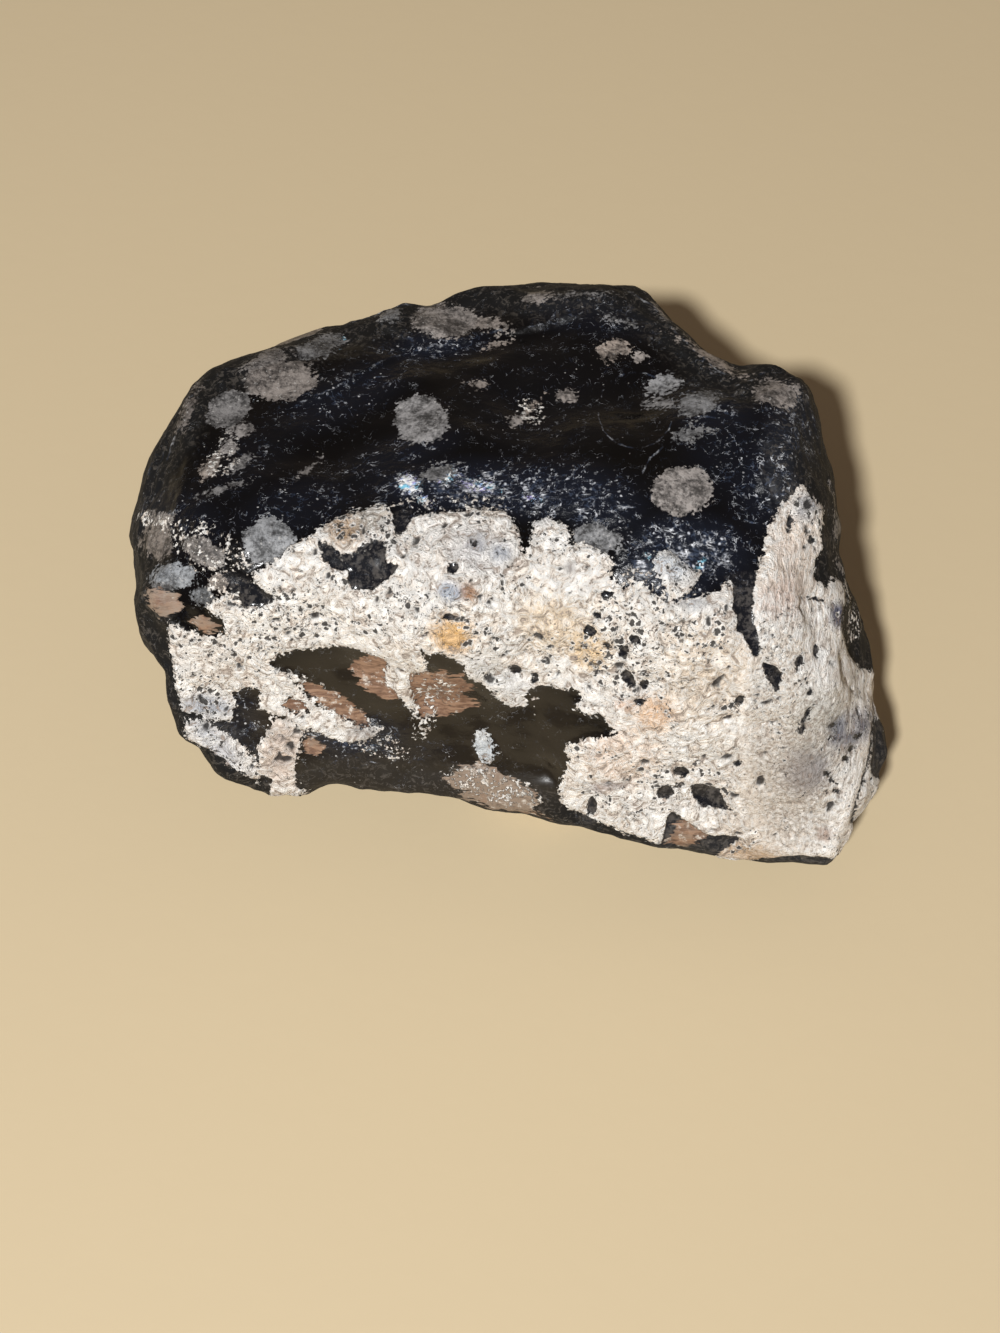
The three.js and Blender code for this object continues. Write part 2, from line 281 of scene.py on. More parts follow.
# Soft stains on the crust: a spot, its colour as the eye sees it, and how strong it is
STAINS = {
    "orange by the upper edge": (452, 634, 24, 20, 20, (0.93, 0.74, 0.48), 1.0),
    "rust by the grey ring": (468, 592, 12, 9, 30, (0.66, 0.45, 0.27), 0.9),
    "orange ring": (655, 712, 25, 20, 0, (0.90, 0.70, 0.50), 0.75),
    "rust left of the ring": (626, 704, 12, 8, 10, (0.72, 0.50, 0.33), 0.6),
    "orange above the crack": (592, 650, 22, 22, 0, (0.93, 0.77, 0.52), 0.7),
    "pale orange in the middle": (556, 624, 45, 30, 20, (0.92, 0.80, 0.62), 0.6),
    "pink at the low window": (622, 755, 40, 30, 0, (0.95, 0.82, 0.72), 0.6),
    "tan at the right": (704, 670, 50, 50, 30, (0.84, 0.73, 0.58), 0.5),
    "tan flake": (345, 531, 20, 18, 0, (0.72, 0.58, 0.42), 0.9),
    "grey round": (476, 543, 12, 11, 0, (0.55, 0.55, 0.57), 0.9),
    "grey second round": (501, 554, 12, 10, 0, (0.60, 0.62, 0.67), 0.8),
    "grey third round": (570, 568, 9, 7, 0, (0.52, 0.50, 0.50), 0.8),
    "blue by the upper edge": (450, 592, 14, 12, 30, (0.58, 0.65, 0.75), 0.8),
    "blue across the upper edge": (478, 550, 40, 26, 10, (0.72, 0.75, 0.80), 0.5),
    "dirty grey at the upper left": (372, 522, 18, 12, -20, (0.45, 0.43, 0.38), 0.6),
    "white at the left": (200, 650, 45, 30, 20, (0.93, 0.90, 0.86), 0.5),
    "white along the low window": (500, 676, 50, 14, 25, (0.93, 0.95, 0.97), 0.6),
    "white right of the blob": (532, 520, 22, 10, 0, (0.90, 0.92, 0.94), 0.6),
    "blue at the lower left": (218, 745, 45, 16, 45, (0.70, 0.74, 0.80), 0.6),
    "blue at the far left": (205, 703, 32, 14, 10, (0.66, 0.70, 0.76), 0.8),
    "blue in the glass patch": (672, 568, 26, 16, 20, (0.75, 0.82, 0.90), 0.6),
    "blue under the glass patch": (690, 606, 26, 9, 0, (0.74, 0.78, 0.82), 0.6),
    "pink down the right end": (790, 560, 24, 60, 5, (0.90, 0.80, 0.72), 0.5),
    "grey at the tip of the right end": (805, 508, 15, 18, 20, (0.60, 0.62, 0.66), 0.8),
    "rose on the right end": (776, 600, 26, 22, 0, (0.80, 0.65, 0.58), 0.35),
    "purple patch": (846, 729, 31, 20, -24, (0.40, 0.42, 0.51), 1.0),
    "lower purple patch": (806, 768, 24, 30, 20, (0.45, 0.48, 0.56), 1.0),
    "grey-green in the right end": (814, 722, 26, 40, 15, (0.66, 0.66, 0.63), 0.55),
    "blue-black by the right edge": (835, 616, 11, 14, 0, (0.33, 0.34, 0.44), 1.0),
    "grey down the right end": (775, 790, 60, 80, 10, (0.78, 0.72, 0.65), 0.6),
    "tan foot of the right end": (742, 852, 40, 14, 5, (0.76, 0.63, 0.48), 0.85),
    "grey end of the ridge": (366, 733, 24, 11, 15, (0.60, 0.58, 0.57), 0.7),
    "rose at the bottom right": (824, 832, 9, 9, 0, (0.55, 0.38, 0.30), 0.6),
    "grey lens near the bottom": (609, 784, 22, 7, -8, (0.60, 0.55, 0.55), 0.8),
    "grey in the glass edge": (690, 602, 16, 5, 0, (0.6, 0.62, 0.66), 0.5),
    "white in the low window": (486, 744, 22, 30, 0, (0.80, 0.84, 0.87), 0.9),
    "pinkish patch low on the left": (282, 750, 24, 36, 0, (0.84, 0.76, 0.70), 0.8),
    "white in the lower star": (529, 796, 12, 10, 0, (0.80, 0.80, 0.78), 0.8),
}

# Bruised glass with a painted sparkle, a bluish-white frost, in its colour: a spot in the photograph's
# pixels, and how bruised it is from 0 to 1
BRUISES_AND_SPARKLE = {
    "bright spot on the crest": (408, 485, 24, 17, 15, 1.0),
    "along the upper edge of the crust": (500, 490, 140, 30, 2, 0.8),
    "crest right of the bright spot": (468, 488, 66, 24, 5, 1.0),
    "above the dark bay": (592, 498, 62, 34, 20, 0.75),
    "under the big flake": (690, 548, 66, 36, 10, 0.95),
    "around the glass patch": (665, 575, 50, 30, 20, 1.0),
    "between the big flake and the ear": (735, 455, 62, 50, 40, 0.32),
    "beside the streaky flake": (715, 412, 50, 26, 10, 0.5),
    "middle of the top": (540, 400, 90, 60, 0, 0.12),
    "left glass": (345, 395, 85, 26, -25, 0.42),
    "below the round flake": (400, 455, 70, 20, -20, 0.4),
    "over the left flake": (300, 505, 70, 28, -15, 0.38),
    "at the far left": (180, 520, 50, 34, 20, 0.35),
    "beside the broad flake": (250, 460, 60, 30, -40, 0.2),
    "at the top": (600, 318, 70, 22, 8, 0.3),
    "under the long flake": (430, 345, 60, 14, -5, 0.6),
    "ear": (790, 430, 34, 44, 0, 0.6),
    "right of the saddle": (765, 480, 40, 60, 10, 0.5),
    "lower window": (350, 735, 60, 22, 6, 0.75),
    "under the ridge": (380, 750, 70, 16, 0, 0.3),
    "left window": (240, 722, 26, 34, 0, 0.35),
}

# Painted glints, bluish-white highlights in the glass's colour: a spot, and how strongly
PAINTED_GLINTS = {
    "bright spot on the crest": (409, 484, 22, 17, 35, 1.0),
    "below the bright spot": (424, 500, 20, 10, 30, 0.8),
    "right of the bright spot": (447, 477, 24, 13, -25, 0.85),
    "glints on the crest": (478, 486, 44, 15, 12, 0.8),
    "right glints on the crest": (530, 497, 24, 11, 10, 0.7),
    "upper left rim": (344, 338, 6, 5, 0, 0.9),
    "left of it": (338, 350, 7, 4, 0, 0.6),
    "under the broad flake": (256, 401, 6, 5, 0, 0.7),
    "left of the glass patch": (648, 556, 10, 14, -30, 0.7),
    "right of the glass patch": (700, 566, 12, 18, 35, 0.8),
    "above the glass patch": (672, 536, 28, 8, -15, 0.55),
    "under the big flake": (700, 520, 18, 6, -10, 0.35),
    "above the crust": (608, 522, 26, 8, -20, 0.5),
    "below the round flake": (398, 452, 12, 8, 20, 0.55),
    "down the slope": (590, 486, 26, 9, -40, 0.4),
    "ear": (800, 405, 10, 6, 0, 0.3),
    "by the low window's ledge": (556, 695, 10, 4, 10, 0.4),
    "left end of the low window": (374, 748, 24, 10, -10, 0.6),
    "glint haze in the lowest window": (246, 742, 16, 14, 40, 0.42),
}

# Crust riddled with small dark hollows: a spot in the photograph's pixels, and how riddled it is from 0 to 1
RIDDLED = {
    "left half": (270, 614, 92, 50, -12, 1.0),
    "above the low window": (385, 612, 60, 34, 10, 0.8),
    "left edge": (205, 670, 45, 50, 10, 0.8),
    "bluish strip": (222, 748, 44, 16, 42, 1.0),
    "far left": (206, 704, 34, 18, 10, 1.0),
    "middle": (630, 640, 64, 72, 20, 0.95),
    "right of the middle": (694, 650, 50, 56, 10, 0.75),
    "cluster right of the middle": (738, 698, 22, 18, 0, 1.0),
    "below the middle": (690, 760, 70, 40, 10, 0.5),
    "by the purple patch": (846, 730, 34, 44, 0, 0.7),
    "left of the big eye": (640, 790, 60, 40, 15, 0.7),
    "upper edge": (520, 545, 90, 22, 5, 0.5),
    "tan flake": (345, 530, 24, 18, 0, 1.0),
    "curls by the upper edge": (384, 528, 24, 22, 0, 1.0),
    "upper middle": (440, 600, 60, 30, 10, 0.8),
    "tip of the right end": (802, 514, 18, 24, 0, 1.0),
    "blue-black by the right edge": (835, 616, 14, 18, 0, 1.0),
    "glass patch": (674, 574, 26, 26, 30, 1.0),
    "down the right end": (775, 640, 26, 60, 10, 0.6),
}

# The glass low on the front, where a dull brown painted reflection of the floor goes into its colour
LOW_WINDOW = (415, 735, 190, 100, 5)

# Crumbs of crust strewn on the glass: spots in the photograph's pixels
STREWN = {
    "upper left edge": (166, 524, 26, 7, 15),
    "left of the blue flake": (210, 550, 42, 22, 30),
    "beside the left flake": (230, 590, 20, 20, 0),
    "over the bay": (430, 508, 60, 8, -4),
    "under the glass patch": (660, 590, 46, 14, 20),
    "below the trail": (224, 456, 14, 20, 30),
    "by the left window": (204, 712, 22, 24, 40),
    "end of the long brown flake": (372, 742, 34, 10, 20),
    "by the low star": (492, 786, 44, 14, 15),
    "below the white tongue": (424, 722, 10, 16, 30),
    "right edge": (845, 610, 14, 30, -15),
    "pink scratch": (530, 412, 14, 12, 0),
    "in the window near the upper edge": (350, 553, 26, 12, 10),
    "centre of the star": (438, 690, 20, 9, 5),
}

# Ledges in the glass: points in the photograph's pixels, and the drop below the line in mm; a thin painted
# highlight runs along each
LEDGES = {
    "under the long flake": (0.5, [
        (408, 338), (424, 346), (444, 345), (466, 338), (490, 331), (516, 329), (552, 322),
    ]),
    "left of the ledge": (0.3, [(300, 402), (330, 390), (360, 372), (400, 352)]),
    "from the crust to the streaky flake": (0.3, [
        (640, 476), (650, 458), (672, 440), (696, 420), (716, 408),
    ]),
    "at the saddle": (0.4, [(700, 362), (722, 376), (742, 386), (764, 374)]),
    "along the left rim": (0.2, [(142, 520), (148, 478), (160, 442), (172, 418), (188, 400)]),
    "inside the left rim": (0.2, [(158, 476), (168, 444), (182, 420)]),
    "edge of the shoulder": (0.2, [(628, 290), (652, 304), (676, 334), (702, 356), (730, 376)]),
    "edge of the ear": (0.2, [(796, 384), (810, 404), (820, 436), (830, 474)]),
}

# Where the broken rim stands higher than elsewhere: spots in the photograph's pixels, and the lift in mm
RIM_LIFTS = {
    "left": (150, 480, 130, 190, 0, 3.4),
    "upper left": (250, 350, 150, 90, -35, 2.8),
    "top": (480, 290, 200, 80, 0, 2.0),
    "lower left": (190, 740, 110, 110, 0, 2.2),
    "under the low window": (430, 820, 190, 70, 5, 1.3),
}

# How square to the eye the skin still is on the rim
RIM_FACING = 0.07

# Where the skin stands out of the carried form, or in from it: spots in the photograph's pixels, and mm
SWELLS = {
    "lower left corner": (214, 770, 74, 32, 38, 1.1),
    "waist": (333, 797, 34, 20, 0, -0.7),
    "saddle": (706, 346, 50, 20, 36, -0.15),
    "ear": (768, 364, 32, 16, 0, 0.75),
    "left of the lower left corner": (184, 736, 34, 20, 58, 0.8),
    "under the cream patch": (286, 802, 24, 14, 0, -0.6),
    "lower right corner": (862, 838, 66, 28, -60, -1.2),
    "above the right chip": (880, 700, 14, 30, -10, -0.6),
    "step on the right rim": (844, 548, 10, 24, 0, -0.4),
}

# How far inwards from the outline the broken rim is rough, and where it is as smooth as the rest, in mm
RIM_ROUGH_FROM = 1.2
RIM_ROUGH_TO = 4.2

# The shallow round scar in the glass: across, down and radius in the photograph's pixels, and its depth in mm
MOON = (636, 410, 38, 0.3)

# Fibrous grain runs down the crust of the right end: a spot in the photograph's pixels
FIBROUS_END = (806, 690, 70, 190, 3)

# Crust patches that the photograph doesn't show: the way to each from the stone's middle, and its radius in
# mm; the length and the depth of the waves of their outlines, in mm
FAR_CRUST = {
    "under the front": (-62, -58, 11.0),
    "low at the right": (-12, -30, 10.0),
    "strip up the back": (118, -4, 6.5),
    "back corner": (52, -28, 7.0),
    "under the left": (204, -56, 8.0),
}
FAR_WAVE_LENGTH = 6.0
FAR_WAVE_DEPTH = 5.0

# Seeded flakes there and how light they are, seeded bruises there with their painted sparkle, how strong they
# are and over what share of their radius they rise to that, and how many mm from the seen side both lie at
# least
FAR_FLAKES = {"seed": 4, "count": 46, "smallest": 1.0, "largest": 3.3}
FAR_LIGHTNESS = (0.35, 0.75)
FAR_BRUISES_AND_SPARKLE = {"seed": 9, "count": 22, "smallest": 3.0, "largest": 7.0}
FAR_BRUISE_STRENGTH = 0.8
FAR_BRUISE_RISE = 0.8
FAR_FROM_SEEN = 2.0

# How square to the eye the skin has to be for the photograph to count, and how much markings lose of their
# depth in mm, or bruises and fibres of their strength, with each mm beyond that
FACING_LIMIT = 0.16
CRUST_CLOSING = 0.28
FLAKE_CLOSING = 0.9
BRUISE_CLOSING = 0.1
FIBRE_CLOSING = 0.02

# Where spots start and where they are full, as shares of their smaller half size inwards from their edge
RIDDLED_FADE = (-0.5, 0.6)
STAIN_FADE = (-0.35, 0.6)
BRUISE_FADE = (-0.4, 0.7)
PAINTED_GLINT_FADE = (-0.3, 0.9)
RIM_LIFT_FADE = (0, 0.5)
SWELL_FADE = (0, 0.8)

# The same in mm: the bare glass inside the crust, the fibrous end, the low window, and the relief of the
# crust and the flakes
CRISP_FADE = (-0.9, -0.1)
FIBRE_FADE = (-0.5, 2.0)
WINDOW_FADE = (-1, 2)
CRUST_RELIEF_FADE = (-0.25, 0.45)
FLAKE_RELIEF_FADE = (-0.1, 0.5)

# How far below its edge the crust stays where it is only strewn, in mm, so that its noise lifts crumbs out
STREWN_DEPTH = -0.12

# In mm: the depth of a flake that is nowhere near, the distance of a ledge that is nowhere near, and how far
# outside its edge a brown flake still sets the skin's tints
FAR_OUTSIDE = -9.0
FAR_FROM_LEDGES = 9.0
BROWN_MARGIN = -0.6

# How riddled the crust is at least, and the least stain that counts
RIDDLED_ANYWHERE = 0.3
LEAST_STAIN = 1e-6

# How far the bubbles of the crust are bent out of round, and on what scale, in mm; and the seed of that noise
BEND = 0.45
BEND_SCALE = 0.8
BEND_SEED = 1

# The reach of a bubble as a share of their spacing: its mean, how much it varies from one to the next and
# over broad patches, a factor that keeps neighbours unlike, the size of those patches in mm, the least reach
# that makes a bubble, and how deep in it the bottom lies
BUBBLE_REACH = 0.08
BUBBLE_VARIETY = 0.75
BUBBLE_PATCHES = 0.3
BUBBLE_SHUFFLE = 5.3
PATCH_SCALE = 6
BUBBLE_LEAST = 0.12
BUBBLE_FULL = 0.6

# Lumps of the crust, knocks of the glass in two sizes, and snowflakes: scales and heights in mm, weights of
# the knocks, the shift between their sizes, and how much of them is lost in snowflakes and gained at the rim
LUMP_SCALE = 1.1
LUMP_HEIGHT = 0.14
BROAD_KNOCK_SCALE = 3.4
BROAD_KNOCK_WEIGHT = 0.7
SMALL_KNOCK_SCALE = 1.3
SMALL_KNOCK_WEIGHT = 0.22
BRUISED_KNOCK_WEIGHT = 0.4
KNOCK_SHIFT = Vector((7, 3, 5))
KNOCKS_LOST_IN_FLAKES = 0.6
KNOCKS_GAINED_AT_RIM = 1.4
FLAKE_HEIGHT = 0.05

# How far below a ledge the glass has dropped, and how far off it is level again, in mm
LEDGE_DROP = 0.4
LEDGE_RUN = 3.2

# The power by which the rim's lift dies away inwards
RIM_CURVE = 1.2

# Fractal noise: how its octaves lose strength, how much finer each is than the last, and how many there are
FRACTAL = (0.8, 2.1)
WAVE_OCTAVES = 4
LUMP_OCTAVES = 3

# From a colour as the eye sees it to a linear one
SCREEN_GAMMA = 2.2

# Pull of each half round of smoothing: towards the neighbours, then a little more back
SMOOTHING_PULLS = (0.5, -0.52)

# Height over the floor in mm where the relief starts, and where it is whole
FOOT_FADE = (0.05, 0.8)

# The sensor's long side in mm, how near the camera sees, and how near two corners of the solid are one
SENSOR_WIDTH = 36
CLIP_START = 10 * MM
MERGE_DISTANCE = 0.01 * MM

# The fixed tints of the finish
BRUISED_GLASS = (0.007, 0.010, 0.019)
CRUSHED_DARK = (0.007, 0.008, 0.011)
CRUSHED_PALE = (0.066, 0.061, 0.058)
RIM_CRUMB = (0.075, 0.066, 0.056)
# Painted sparkle of bruised glass: a frost from deep blue to bright white in its colour
FROST_SPARKLE_DEEP = (0.035, 0.05, 0.085)
FROST_SPARKLE_BRIGHT = (0.84, 0.87, 0.92)
# Painted glints: tints of the bluish-white highlights painted into the glass
PAINTED_GLINT_CYAN = (0.24, 0.60, 0.80)
PAINTED_GLINT_VIOLET = (0.42, 0.38, 0.72)
PAINTED_GLINT_WHITE = (0.96, 0.99, 1.0)
# Pale specks on the glass: dust, and painted sparkle on bruised glass
DUST_ON_GLASS = (0.40, 0.38, 0.35)
PAINTED_SPARKLE_IN_BRUISE = (0.64, 0.68, 0.76)
FLAKE_SPECK = (0.52, 0.51, 0.49)
FLAKE_GRAIN = (0.022, 0.021, 0.022)
BROWN_GRAIN = (0.05, 0.035, 0.028)
BROWN_CRUMB = (0.66, 0.62, 0.56)

# The gloss of the finish
SMOOTH_GLASS = 0.10
DULL_GLASS = 0.22
BRUISED_ROUGHNESS = 0.34
FROSTED_ROUGHNESS = 0.5
RIM_ROUGHNESS = 0.8
FLAKE_ROUGHNESS = 0.5
CRUST_ROUGHNESS = 0.9
FLOOR_ROUGHNESS = 0.6
STONE_IOR = 1.49
STONE_SPECULAR = 0.35
FLOOR_IOR = 1.45

# The markings that the finish reads from the mesh, one number each
MARKINGS = (
    "crust", "flake", "brown", "warmth", "lightness", "bruise_and_sparkle", "painted_glint", "window", "ledge_highlight", "rim", "crisp",
    "riddled", "fibre", "pits",
)


def length(name, description, default, low, high):
    """A setting for a length; the numbers are in mm."""
    return FloatProperty(
        name=name, description=description, default=default * MM, min=low * MM, max=high * MM,
        subtype="DISTANCE", unit="LENGTH", precision=5,
    )


def angle(name, description, default, low, high):
    """A setting for an angle; the numbers are in degrees."""
    return FloatProperty(
        name=name, description=description, default=math.radians(default), min=math.radians(low),
        max=math.radians(high), subtype="ANGLE", unit="ROTATION",
    )


def tint(name, description, default, high=1):
    """A setting for a linear colour."""
    return FloatVectorProperty(
        name=name, description=description, default=default, size=3, min=0, max=high, subtype="COLOR",
    )


class StoneShape(PropertyGroup):
    """The sizes of the stone's fine relief."""

    grid: length("Grid", "Spacing of the mesh that carries the relief", 0.395, 0.2, 2)
    rounding: IntProperty(
        name="Rounding", description="How many times the facets of the carried form are smoothed",
        default=12, min=0, max=60,
    )
    crust_lift: length("Crust lift", "How far the crust stands above the glass", 0.32, 0, 2)
    pit_spacing: length("Pit spacing", "Distance between the gas bubbles of the crust", 1.25, 0.3, 5)
    pit_depth: length("Pit depth", "Depth of the gas bubbles of the crust", 0.5, 0, 2)
    rim_lift: length("Rim lift", "How far the rim is drawn towards the eye, to a sharp edge", 1.2, 0, 5)
    rim_width: length("Rim width", "How far inwards from the rim it is drawn along", 4.5, 0.5, 20)
    knock_depth: length("Knock depth", "Depth of the small shell-shaped knocks in the glass", 0.3, 0, 2)


class StoneFinish(PropertyGroup):
    """The colours of the glass, the snowflakes and the crust."""

    glass: tint("Glass", "The black of the bare glass", (0.0012, 0.0012, 0.0015))
    glass_brown: tint("Brown glass", "The warmer glass between the black", (0.0015, 0.0014, 0.0013))
    # Painted reflection: the dull brown of the floor seen in the low window's glass, painted into its colour
    low_window_floor_reflection: tint("Low window", "A dull brown painted reflection of the floor in the low window's glass", (0.016, 0.0125, 0.0085))
    flake_cool: tint("Cool snowflake", "The bluish grey of the cool snowflakes", (0.12, 0.127, 0.135))
    flake_warm: tint("Warm snowflake", "The pinkish grey of the warm snowflakes", (0.162, 0.138, 0.12))
    brown_dark: tint("Dark brown flake", "The deep brown of the low window's flakes", (0.15, 0.083, 0.053))
    brown_light: tint("Light brown flake", "The rust brown of those flakes", (0.29, 0.180, 0.118))
    brown_grey: tint("Grey-brown flake", "The grey-brown of their duller parts", (0.25, 0.192, 0.148))
    crust_white: tint("Crust white", "The palest grains of the crust", (1.0, 0.985, 0.95))
    crust_cream: tint("Crust cream", "The cream body of the crust", (0.93, 0.85, 0.755))
    crust_pale: tint("Crust pale", "The paler blotches of that body", (0.97, 0.925, 0.865))
    crust_grey: tint("Crust grey", "The grey-brown shade between the grains", (0.40, 0.33, 0.28))
    # Partly painted shade: this darkens the crust's bubbles and small hollows
    pit: tint("Pit", "The dark inside of the gas bubbles, partly painted shade", (0.022, 0.018, 0.016))


class StageSettings(PropertyGroup):
    """The floor, the light and the camera."""

    camera_place: FloatVectorProperty(
        name="Camera place", description="Where the camera stands, in the stone's frame",
        default=(-0.78 * MM, -117.1 * MM, 198.0 * MM), size=3, precision=5,
        subtype="TRANSLATION", unit="LENGTH",
    )
    camera_elevation: angle("Camera elevation", "How steeply the camera looks down", 60, 0, 90)
    lens: FloatProperty(
        name="Lens", description="Focal length for a sensor of 36 mm along the picture's long side",
        default=58.87, min=10, max=300,
    )
    floor_size: length("Floor size", "Side of the square floor", 3000, 500, 20000)
    floor_colour: tint("Floor colour", "The pale colour of the floor", (0.595, 0.485, 0.311))
    key_power: FloatProperty(
        name="Key light", description="Power of the small soft light beside the camera, in watts",
        default=5.8, min=0, max=100,
    )
    key_distance: length("Key distance", "How far that light stands from the stone", 700, 100, 5000)
    key_turn: angle("Key turn", "How far that light stands to the left of the line of sight", 11, -180, 180)
    key_drop: angle("Key drop", "How far that light stands below the line of sight", 6, -90, 90)
    key_size: length("Key size", "Diameter of that light", 48, 5, 2000)
    surround: tint("Surround", "Colour and brightness of the even light all round", (0.15, 0.12, 0.10), 5)


def sight_axes(settings):
    """Unit vectors of the picture: to its right, to its top, and along the line of sight."""
    level = math.cos(settings.camera_elevation)
    steep = math.sin(settings.camera_elevation)
    return np.array([1.0, 0.0, 0.0]), np.array([0.0, steep, level]), np.array([0.0, level, -steep])


def pixels_of(points, settings):
    """Where points of the stone, in metres, stand in the photograph."""
    right, top, ahead = sight_axes(settings)
    away = points - np.array(settings.camera_place)
    focal = settings.lens / SENSOR_WIDTH * PHOTO_HEIGHT
    depth = away @ ahead
    across = PHOTO_WIDTH / 2 + focal * (away @ right) / depth
    down = PHOTO_HEIGHT / 2 - focal * (away @ top) / depth
    return np.stack([across, down], axis=1)


def spot_depth(pixels, across, down, half_width, half_height, turn):
    """How far inside an oval each pixel lies, in mm at the stone; outside it is below 0."""
    tilt = math.radians(turn)
    right, below = (pixels - (across, down)).T
    along = (right * math.cos(tilt) + below * math.sin(tilt)) / half_width
    aside = (below * math.cos(tilt) - right * math.sin(tilt)) / half_height
    return (1 - np.hypot(along, aside)) * min(half_width, half_height) / PIXELS_PER_MM


def nearest_on_edges(pixels, starts, ends):
    """For each pixel, its distance to the nearest of the edges, and on which side of that edge it is."""
    nearest = np.full(len(pixels), np.inf)
    side = np.zeros(len(pixels))
    for start, end in zip(starts, ends):
        edge = end - start
        away = pixels - start
        share = np.clip((away @ edge) / (edge @ edge), 0, 1)
        distance = np.hypot(*(away - share[:, None] * edge).T)
        turn = edge[0] * away[:, 1] - edge[1] * away[:, 0]
        closer = distance < nearest
        side[closer] = np.sign(turn[closer])
        nearest = np.minimum(nearest, distance)
    return nearest, side


def outline_depth(pixels, corners):
    """How far inside a closed outline each pixel lies, in mm at the stone; outside it is below 0."""
    starts = np.array(corners, float)
    ends = np.roll(starts, -1, axis=0)
    nearest, _ = nearest_on_edges(pixels, starts, ends)
    inside = np.zeros(len(pixels), bool)
    for start, end in zip(starts, ends):
        spans = (start[1] > pixels[:, 1]) != (end[1] > pixels[:, 1])
        rise = (end[1] - start[1]) or 1.0
        crossing = start[0] + (pixels[:, 1] - start[1]) * (end[0] - start[0]) / rise
        inside ^= spans & (pixels[:, 0] < crossing)
    return np.where(inside, nearest, -nearest) / PIXELS_PER_MM


def smooth_step(low, high, value):
    """0 at low, 1 at high, and a smooth rise between."""
    share = np.clip((value - low) / (high - low), 0, 1)
    return share * share * (3 - 2 * share)


def way(azimuth, elevation):
    """The unit vector at an azimuth and an elevation in degrees."""
    turn, rise = math.radians(azimuth), math.radians(elevation)
    return np.array([math.cos(rise) * math.cos(turn), math.cos(rise) * math.sin(turn), math.sin(rise)])


def vectors_of(vertices, name):
    """A vector of each vertex, as rows."""
    numbers = np.empty(len(vertices) * 3)
    vertices.foreach_get(name, numbers)
    return numbers.reshape(-1, 3)


def tree_of(points, chosen):
    """A tree that finds the nearest of the chosen points."""
    tree = kdtree.KDTree(len(chosen))
    for i in chosen:
        tree.insert(points[i], i)
    tree.balance()
    return tree


